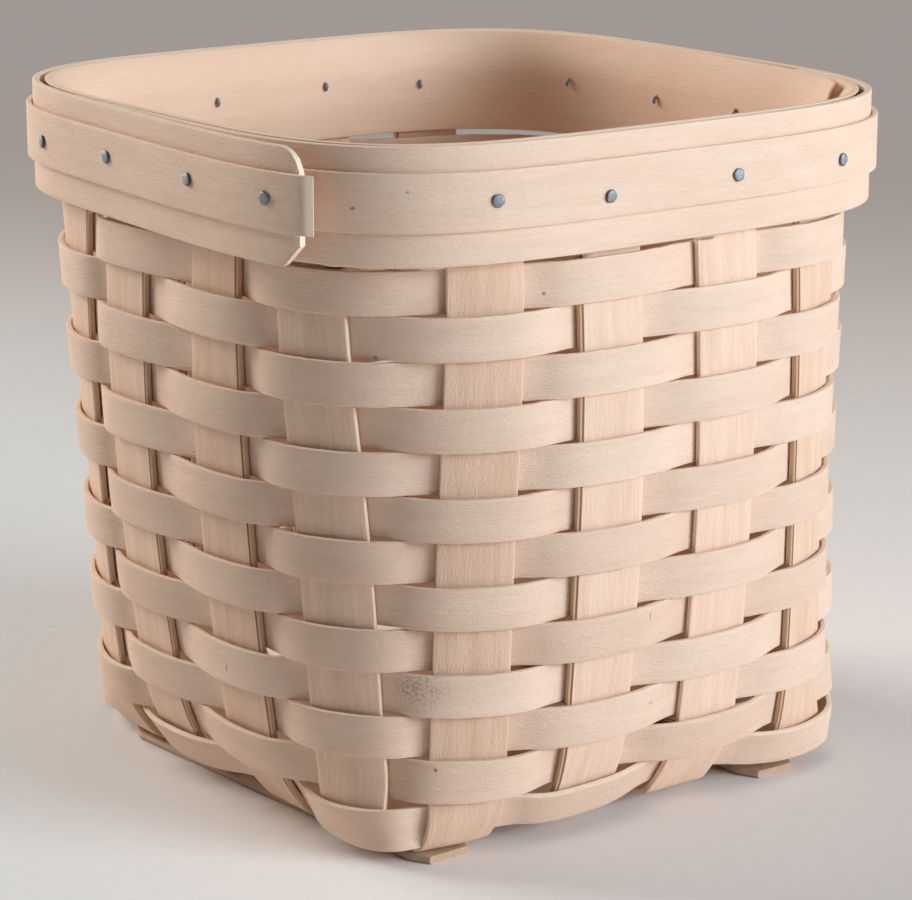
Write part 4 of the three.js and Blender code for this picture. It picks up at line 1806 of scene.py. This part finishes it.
@dataclass
class Tacks:
    """The steel tacks: a head on the trim over each stake's end, and its tip bent down inside."""

    wall: Wall
    rim: Rim
    finish: SteelFinish
    head_radius: float = 1.4
    head_height: float = 0.8
    shank_radius: float = 0.45
    tip_reach: float = 0.7
    tip_length: float = 1.8
    tip_root: float = 0.6
    tip_steps: int = 6
    tip_shade: float = 0.3
    tilt: float = 0.10
    uneven: float = 0.03
    sides: int = 20
    seed: int = 5
    shifts: tuple[tuple[float, float], ...] = (
        (0, 1), (-3.8, -0.6), (-1.8, 0.3), (-0.7, 0),
        (1, 0.3), (5, 1), (0.5, 0.4), (6, 1.6),
        (2, 0.4), (0, 1.6), (-0.7, 0.5), (0.5, 0),
        (-2.7, 0.4), (2.9, 1.5), (2.8, 1.7), (-0.85, 1.6))

    INPUTS = {"Head": "Object", "Tip": "Object", "Tilt": "Float", "Seed": "Int", "Material": "Material"}
    # Height and rim value of the shank's sections, in millimetres
    SHANK = ((-3.0, 0.2), (-0.05, 0.6))
    # Shares of the head's height and radius, and rim value, of its sections
    HEAD = ((0.0, 0.93, 1.0), (0.3, 1.0, 1.0), (0.6, 0.96, 0.8), (0.78, 0.82, 0.3), (0.85, 0.5, 0.0),
            (0.85, 0.2, 0.0))
    # Bulges in the round of a head, and where the first of them lies
    LOBES = ((3, 0), (5, 1))
    # Shares of the tip's length, reach and radius, and rim value, of its last sections
    TAPER = ((0.75, 0.95, 0.75, 0.2), (1.0, 0.8, 0.25, 0.1))

    def build(self) -> bpy.types.Object:
        """Make all tacks as one piece.

        Returns:
            The piece.
        """
        points, facing, inside = self.places()
        spots = bpy.data.meshes.new("tack_places")
        spots.from_pydata((points * MM).tolist(), [], [])
        directions = spots.attributes.new("facing", "FLOAT_VECTOR", "POINT")
        directions.data.foreach_set("vector", facing.ravel())
        choices = spots.attributes.new("inside", "BOOLEAN", "POINT")
        choices.data.foreach_set("value", inside)
        head, tip = self.head(), self.tip()
        tree, identifiers = self.tree()
        values = {
            "Head": head,
            "Tip": tip,
            "Tilt": self.tilt,
            "Seed": self.seed,
            "Material": self.finish.material(),
        }
        piece = grow("tacks", spots, tree, identifiers, values)
        for model in (head, tip):
            bpy.data.objects.remove(model)
        dress(piece, "tack_steel", *(f"tack_{i + 1:02d}" for i in range(len(self.shifts))))
        return piece

    def places(self) -> tuple[Array, Array, Array]:
        """Where heads and tips sit.

        Returns:
            Points, outward directions, and whether each point is a tip inside the rim.
        """
        rim, wall = self.rim, self.wall
        middles = wall.stakes_round(wall.top)[:, 1]
        heads, tips, facing = [], [], []
        for middle, (along, above) in zip(middles, self.shifts):
            angle = rim.plan.step(middle, along)
            z = np.array(rim.band_middle + above)
            seat = rim.trim_offset + rim.trim_thickness / 2 + rim.outer_rise(angle)
            doubled = rim.inner_rise(angle) if angle > rim.inner_showing else 0.0
            within = rim.inner_offset - rim.band_thickness / 2 + doubled
            heads.append(rim.outer_plan.point(angle, seat, z))
            tips.append(rim.plan.point(angle, within, z))
            facing.append(rim.outer_plan.normal(angle))
        points = np.concatenate([heads, tips])
        inside = np.arange(len(points)) >= len(heads)
        return points, np.concatenate([facing, facing]), inside

    def tree(self) -> tuple[bpy.types.NodeTree, dict[str, str]]:
        """Geometry Nodes tree that sets a head or a tip on each point, a little askew.

        Returns:
            The tree and its inputs' identifiers by name.
        """
        tree, identifiers = geometry_tree("tack_places", "Places", self.INPUTS, "Tacks")
        graph = Graph(tree)
        given = graph.node("NodeGroupInput")
        facing = graph.stored("facing", "FLOAT_VECTOR")
        inside = graph.stored("inside", "BOOLEAN")
        spread = {0: (-1.0, -1.0, -1.0), 1: (1.0, 1.0, 1.0), "Seed": given["Seed"]}
        askew = graph.node("FunctionNodeRandomValue", {"data_type": "FLOAT_VECTOR"}, spread)[0]
        aim = graph.vector("ADD", facing, graph.scaled(askew, given["Tilt"]))
        axes = {"primary_axis": "Z", "secondary_axis": "Y"}
        join = graph.node("GeometryNodeJoinGeometry")
        for model, chosen, side in (("Head", 1.0 - inside, askew), ("Tip", inside, (0.0, 0.0, 1.0))):
            rotation = graph.node("FunctionNodeAxesToRotation", axes, {0: aim, 1: side})["Rotation"]
            shape = graph.node("GeometryNodeObjectInfo", None, {"Object": given[model]})["Geometry"]
            copies = {
                "Points": given["Places"],
                "Selection": chosen,
                "Instance": shape,
                "Rotation": rotation,
            }
            placed = graph.node("GeometryNodeInstanceOnPoints", None, copies)["Instances"]
            tree.links.new(placed.socket, join.node.inputs[0])
        real = graph.node("GeometryNodeRealizeInstances", None, {"Geometry": join["Geometry"]})["Geometry"]
        painted = {"Geometry": real, "Material": given["Material"]}
        tacks = graph.node("GeometryNodeSetMaterial", None, painted)["Geometry"]
        graph.node("NodeGroupOutput", None, {"Tacks": tacks})
        return tree, identifiers

    def lathe(self, name: str, rings: Sequence[tuple[Vector, float, float, float]],
              uneven: float) -> bpy.types.Object:
        """A closed body of round sections, to be copied by the tree.

        Args:
            name: name of the model.
            rings: centre, radius, tip-over angle about X and rim value of each section, in millimetres.
            uneven: how far the sections are out of round, as a share of their radius.

        Returns:
            The model.
        """
        sides = self.sides
        made = bmesh.new()
        layer = made.verts.layers.float.new("rim")
        loops = []
        for centre, radius, lean, rim in rings:
            loop = []
            for k in range(sides):
                turn = FULL_TURN * k / sides
                bulge = sum(math.cos(count * turn + lag) for count, lag in self.LOBES)
                reach = radius * (1 + uneven * bulge)
                spoke = Vector((math.cos(turn) * reach, math.sin(turn) * reach * math.cos(lean),
                                math.sin(turn) * reach * math.sin(lean)))
                vertex = made.verts.new((centre + spoke) * MM)
                vertex[layer] = rim
                loop.append(vertex)
            loops.append(loop)
        for low, high in zip(loops, loops[1:]):
            for k in range(sides):
                made.faces.new((low[k], low[(k + 1) % sides], high[(k + 1) % sides], high[k]))
        made.faces.new(loops[0][::-1])
        made.faces.new(loops[-1])
        bmesh.ops.recalc_face_normals(made, faces=made.faces)
        for face in made.faces:
            face.smooth = True
        mesh = bpy.data.meshes.new(name)
        made.to_mesh(mesh)
        made.free()
        model = bpy.data.objects.new(name, mesh)
        bpy.context.scene.collection.objects.link(model)
        return model

    def head(self) -> bpy.types.Object:
        """Model of a head on its shank.

        Returns:
            The model, outwards along Z.
        """
        rings = [(Vector((0, 0, z)), self.shank_radius, 0.0, rim) for z, rim in self.SHANK]
        for height, radius, rim in self.HEAD:
            centre = Vector((0, 0, height * self.head_height))
            rings.append((centre, radius * self.head_radius, 0.0, rim))
        return self.lathe("tack_head", rings, self.uneven)

    def tip(self) -> bpy.types.Object:
        """Model of a tip.

        Returns:
            The model, which comes out of the inner band along -Z and bends down along -Y.
        """
        r = self.shank_radius
        reach, length = self.tip_reach, self.tip_length
        rings = [(Vector((0, 0, self.tip_root)), r, 0.0, self.tip_shade)]
        for turn in np.linspace(0, math.pi / 2, self.tip_steps):
            centre = Vector((0, -reach * (1 - math.cos(turn)), -reach * math.sin(turn)))
            rings.append((centre, r, -turn, self.tip_shade))
        for along, out, thick, rim in self.TAPER:
            centre = Vector((0, -length * along, -reach * out))
            rings.append((centre, r * thick, -math.pi / 2, rim))
        return self.lathe("tack_tip", rings, 0.0)


@dataclass(frozen=True)
class Softbox:
    """A soft lamp: where it stands, how wide and high it is, and its power in watts."""

    name: str
    place: tuple[float, float, float]
    width: float
    height: float
    power: float
    colour: tuple[float, float, float]


@dataclass
class Studio:
    """Floor, lamps and camera."""

    floor_finish: FloorFinish = field(default_factory=FloorFinish)
    floor_reach: float = 4.0
    floor_cuts: int = 8
    lamps: tuple[Softbox, ...] = (
        Softbox("key_lamp", (0.72, -1.35, 0.53), 0.9, 0.5, 21.3, (0.745, 0.885, 1.0)),
        Softbox("low_lamp", (0.9, -1.32, 0.30), 0.6, 0.25, 4.0, (1.0, 0.92, 0.84)),
        Softbox("back_lamp", (-0.61, 1.31, 0.76), 0.9, 0.9, 25.0, (1.0, 0.97, 0.92)),
        Softbox("top_lamp", (0.32, -0.68, 1.49), 2.0, 2.0, 8.0, (0.98, 0.99, 1.0)),
    )
    aim: tuple[float, float, float] = (0.0, 0.0, 0.08)
    sky: Colour = (1.0, 0.75, 0.58, 1.0)
    sky_strength: float = 0.01
    camera_azimuth: float = -36.5321
    camera_distance: float = 728.2073
    camera_height: float = 256.0
    camera_heading: float = -36.6787
    camera_tilt: float = 14.5248
    lens: float = 129.13
    sensor: float = 36.0
    nearest: float = 0.01
    shift: tuple[float, float] = (0.00059, 0.00504)

    def build(self) -> None:
        """Make the floor, lamps, sky and camera."""
        self.floor()
        for lamp in self.lamps:
            self.hang(lamp)
        self.backdrop()
        bpy.context.scene.view_settings.view_transform = "Standard"
        self.camera()

    def hang(self, lamp: Softbox) -> None:
        """Hang one lamp, turned to the basket.

        Args:
            lamp: the lamp.
        """
        light = bpy.data.lights.new(lamp.name, "AREA")
        light.shape = "RECTANGLE"
        light.size = lamp.width
        light.size_y = lamp.height
        light.energy = lamp.power
        light.color = lamp.colour
        holder = bpy.data.objects.new(lamp.name, light)
        holder.location = lamp.place
        towards = Vector(self.aim) - Vector(lamp.place)
        holder.rotation_euler = towards.to_track_quat("-Z", "Y").to_euler()
        bpy.context.scene.collection.objects.link(holder)

    def backdrop(self) -> None:
        """Set a dim sky, which the camera sees as plain grey."""
        world = bpy.data.worlds.new("studio")
        world.use_nodes = True
        world.node_tree.nodes.clear()
        graph = Graph(world.node_tree)
        dim = {"Color": self.sky, "Strength": self.sky_strength}
        plain = {"Color": self.floor_finish.horizon, "Strength": 1.0}
        sky, grey = (graph.node("ShaderNodeBackground", None, each)["Background"] for each in (dim, plain))
        blend = {0: seen_plainly(graph), 1: sky, 2: grey}
        both = graph.node("ShaderNodeMixShader", None, blend)["Shader"]
        graph.node("ShaderNodeOutputWorld", None, {"Surface": both})
        bpy.context.scene.world = world

    def floor(self) -> None:
        """Lay the floor as one wide sheet."""
        made = bmesh.new()
        cuts = self.floor_cuts
        bmesh.ops.create_grid(made, x_segments=cuts, y_segments=cuts, size=self.floor_reach)
        mesh = bpy.data.meshes.new("floor")
        made.to_mesh(mesh)
        made.free()
        mesh.materials.append(self.floor_finish.material())
        floor = bpy.data.objects.new("floor", mesh)
        bpy.context.scene.collection.objects.link(floor)
        floor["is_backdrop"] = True

    def camera(self) -> None:
        """Set the camera at the photograph's viewing angle."""
        lens = bpy.data.cameras.new("camera")
        lens.sensor_fit = "HORIZONTAL"
        lens.sensor_width = self.sensor
        lens.lens = self.lens
        lens.shift_x, lens.shift_y = self.shift
        lens.clip_start = self.nearest
        camera = bpy.data.objects.new("camera", lens)
        turn = math.radians(self.camera_azimuth)
        distance = self.camera_distance * MM
        camera.location = (distance * math.sin(turn), -distance * math.cos(turn), self.camera_height * MM)
        tilt = math.radians(90 - self.camera_tilt)
        camera.rotation_euler = (tilt, 0.0, math.radians(self.camera_heading))
        bpy.context.scene.collection.objects.link(camera)
        bpy.context.scene.camera = camera


def dress(piece: bpy.types.Object, slot: str, *nodes: str) -> None:
    """Let a piece ride on the basket and stand for its CAD nodes.

    Args:
        piece: the finished piece.
        slot: name of a material slot; not used.
        nodes: the CAD nodes that it stands for.
    """
    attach(piece, BODY)
    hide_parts(*nodes)
    log.info("%s: %d faces", piece.name, len(piece.data.polygons))


STAKE_WOOD = WoodFinish(
    name="sanded_stake",
    light=(0.94, 0.69, 0.535, 1.0),
    dark=(0.68, 0.43, 0.29, 1.0),
    edge=(0.94, 0.73, 0.55, 1.0),
    streak_width=0.75,
    streak_length=14.0,
    streak_strength=0.75,
    waviness=2.2,
    fleck_strength=0.16,
    cloud_strength=0.30,
    fuzz_strength=0.16,
    bump=0.75,
)
# The stakes' finish in darker colours, for the runners
RUNNER_WOOD = replace(
    STAKE_WOOD,
    name="darker_runner",
    light=(0.70, 0.49, 0.36, 1.0),
    dark=(0.48, 0.31, 0.20, 1.0),
    edge=(0.60, 0.42, 0.30, 1.0),
)
WEAVER_WOOD = WoodFinish(
    name="sanded_weaver",
    light=(0.94, 0.705, 0.565, 1.0),
    dark=(0.68, 0.45, 0.32, 1.0),
    edge=(0.94, 0.74, 0.57, 1.0),
    streak_width=0.5,
    streak_length=7.0,
    streak_strength=0.45,
    waviness=0.7,
    fleck_strength=0.22,
    cloud_strength=0.35,
    fuzz_strength=0.16,
    bump=0.9,
    marks=(
        Mark((-55.5, -64.5, 38.7), (9.0, 9.0, 6.5), 0.4, True),
        Mark((-52.9, -67.2, 21.6), (0.6, 0.6, 0.6), 0.8),
        Mark((-62.6, -60.2, 109.7), (0.7, 0.7, 0.7), 0.6),
        Mark((-31.4, -75.2, 121.5), (0.6, 0.6, 0.6), 0.7),
        Mark((-5.7, -79.7, 49.6), (0.35, 1.0, 1.5), 0.5),
        Mark((-1.4, -79.7, 50.2), (0.35, 1.0, 1.3), 0.5),
        Mark((-3.4, -77.5, 29.2), (1.5, 1.0, 0.45), 0.4),
        Mark((-75.3, -22.3, 36.6), (1.0, 0.4, 1.3), 0.6),
    ),
)
RIM_WOOD = WoodFinish(
    name="sanded_rim",
    light=(0.94, 0.705, 0.56, 1.0),
    dark=(0.68, 0.45, 0.315, 1.0),
    edge=(0.94, 0.74, 0.58, 1.0),
    streak_width=0.55,
    streak_length=8.0,
    streak_strength=0.42,
    waviness=0.8,
    fleck_strength=0.22,
    cloud_strength=0.35,
    fuzz_strength=0.16,
    bump=0.75,
    marks=(
        Mark((-70.7, -64.2, 141.6), (0.9, 0.9, 0.5), 0.7),
        Mark((-62.8, -71.7, 145.0), (0.7, 0.7, 0.4), 0.5),
        Mark((-80.6, 31.4, 147.1), (3.0, 9.0, 1.1), 0.3, True),
    ),
)
# Painted light: the rim wood made warmer and lighter for the inner band, for the warm light bounced inside
# the basket
INSIDE_WOOD_PAINTED_LIGHT = replace(
    RIM_WOOD,
    name="inside_painted_warm_light",
    light=(0.97, 0.72, 0.55, 1.0),
    dark=(0.78, 0.50, 0.34, 1.0),
    bump=0.45,
    marks=(),
)


def write_sizes() -> None:
    """Gather the solids' box and the visual model's box, in metres, without writing them anywhere."""
    boxes = {"cad": CAD_BOX, "visual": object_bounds()}
    plain = {name: [[float(value) for value in corner] for corner in box] for name, box in boxes.items()}


def main() -> None:
    """Build the studio and the basket."""
    logging.basicConfig(level=logging.INFO, format="%(name)s: %(message)s")
    Studio().build()
    wall = Wall()
    tree = SplintTree()
    rim = Rim(wall, tree, RIM_WOOD, INSIDE_WOOD_PAINTED_LIGHT, WEAVER_WOOD)
    pieces = Weave(wall, tree, STAKE_WOOD, WEAVER_WOOD).build()
    pieces += Runners(wall, tree, RUNNER_WOOD).build()
    pieces += rim.build()
    pieces.append(Tacks(wall, rim, SteelFinish()).build())
    log.info("%d pieces", len(pieces))
    write_sizes()


if __name__ == "__main__":
    main()
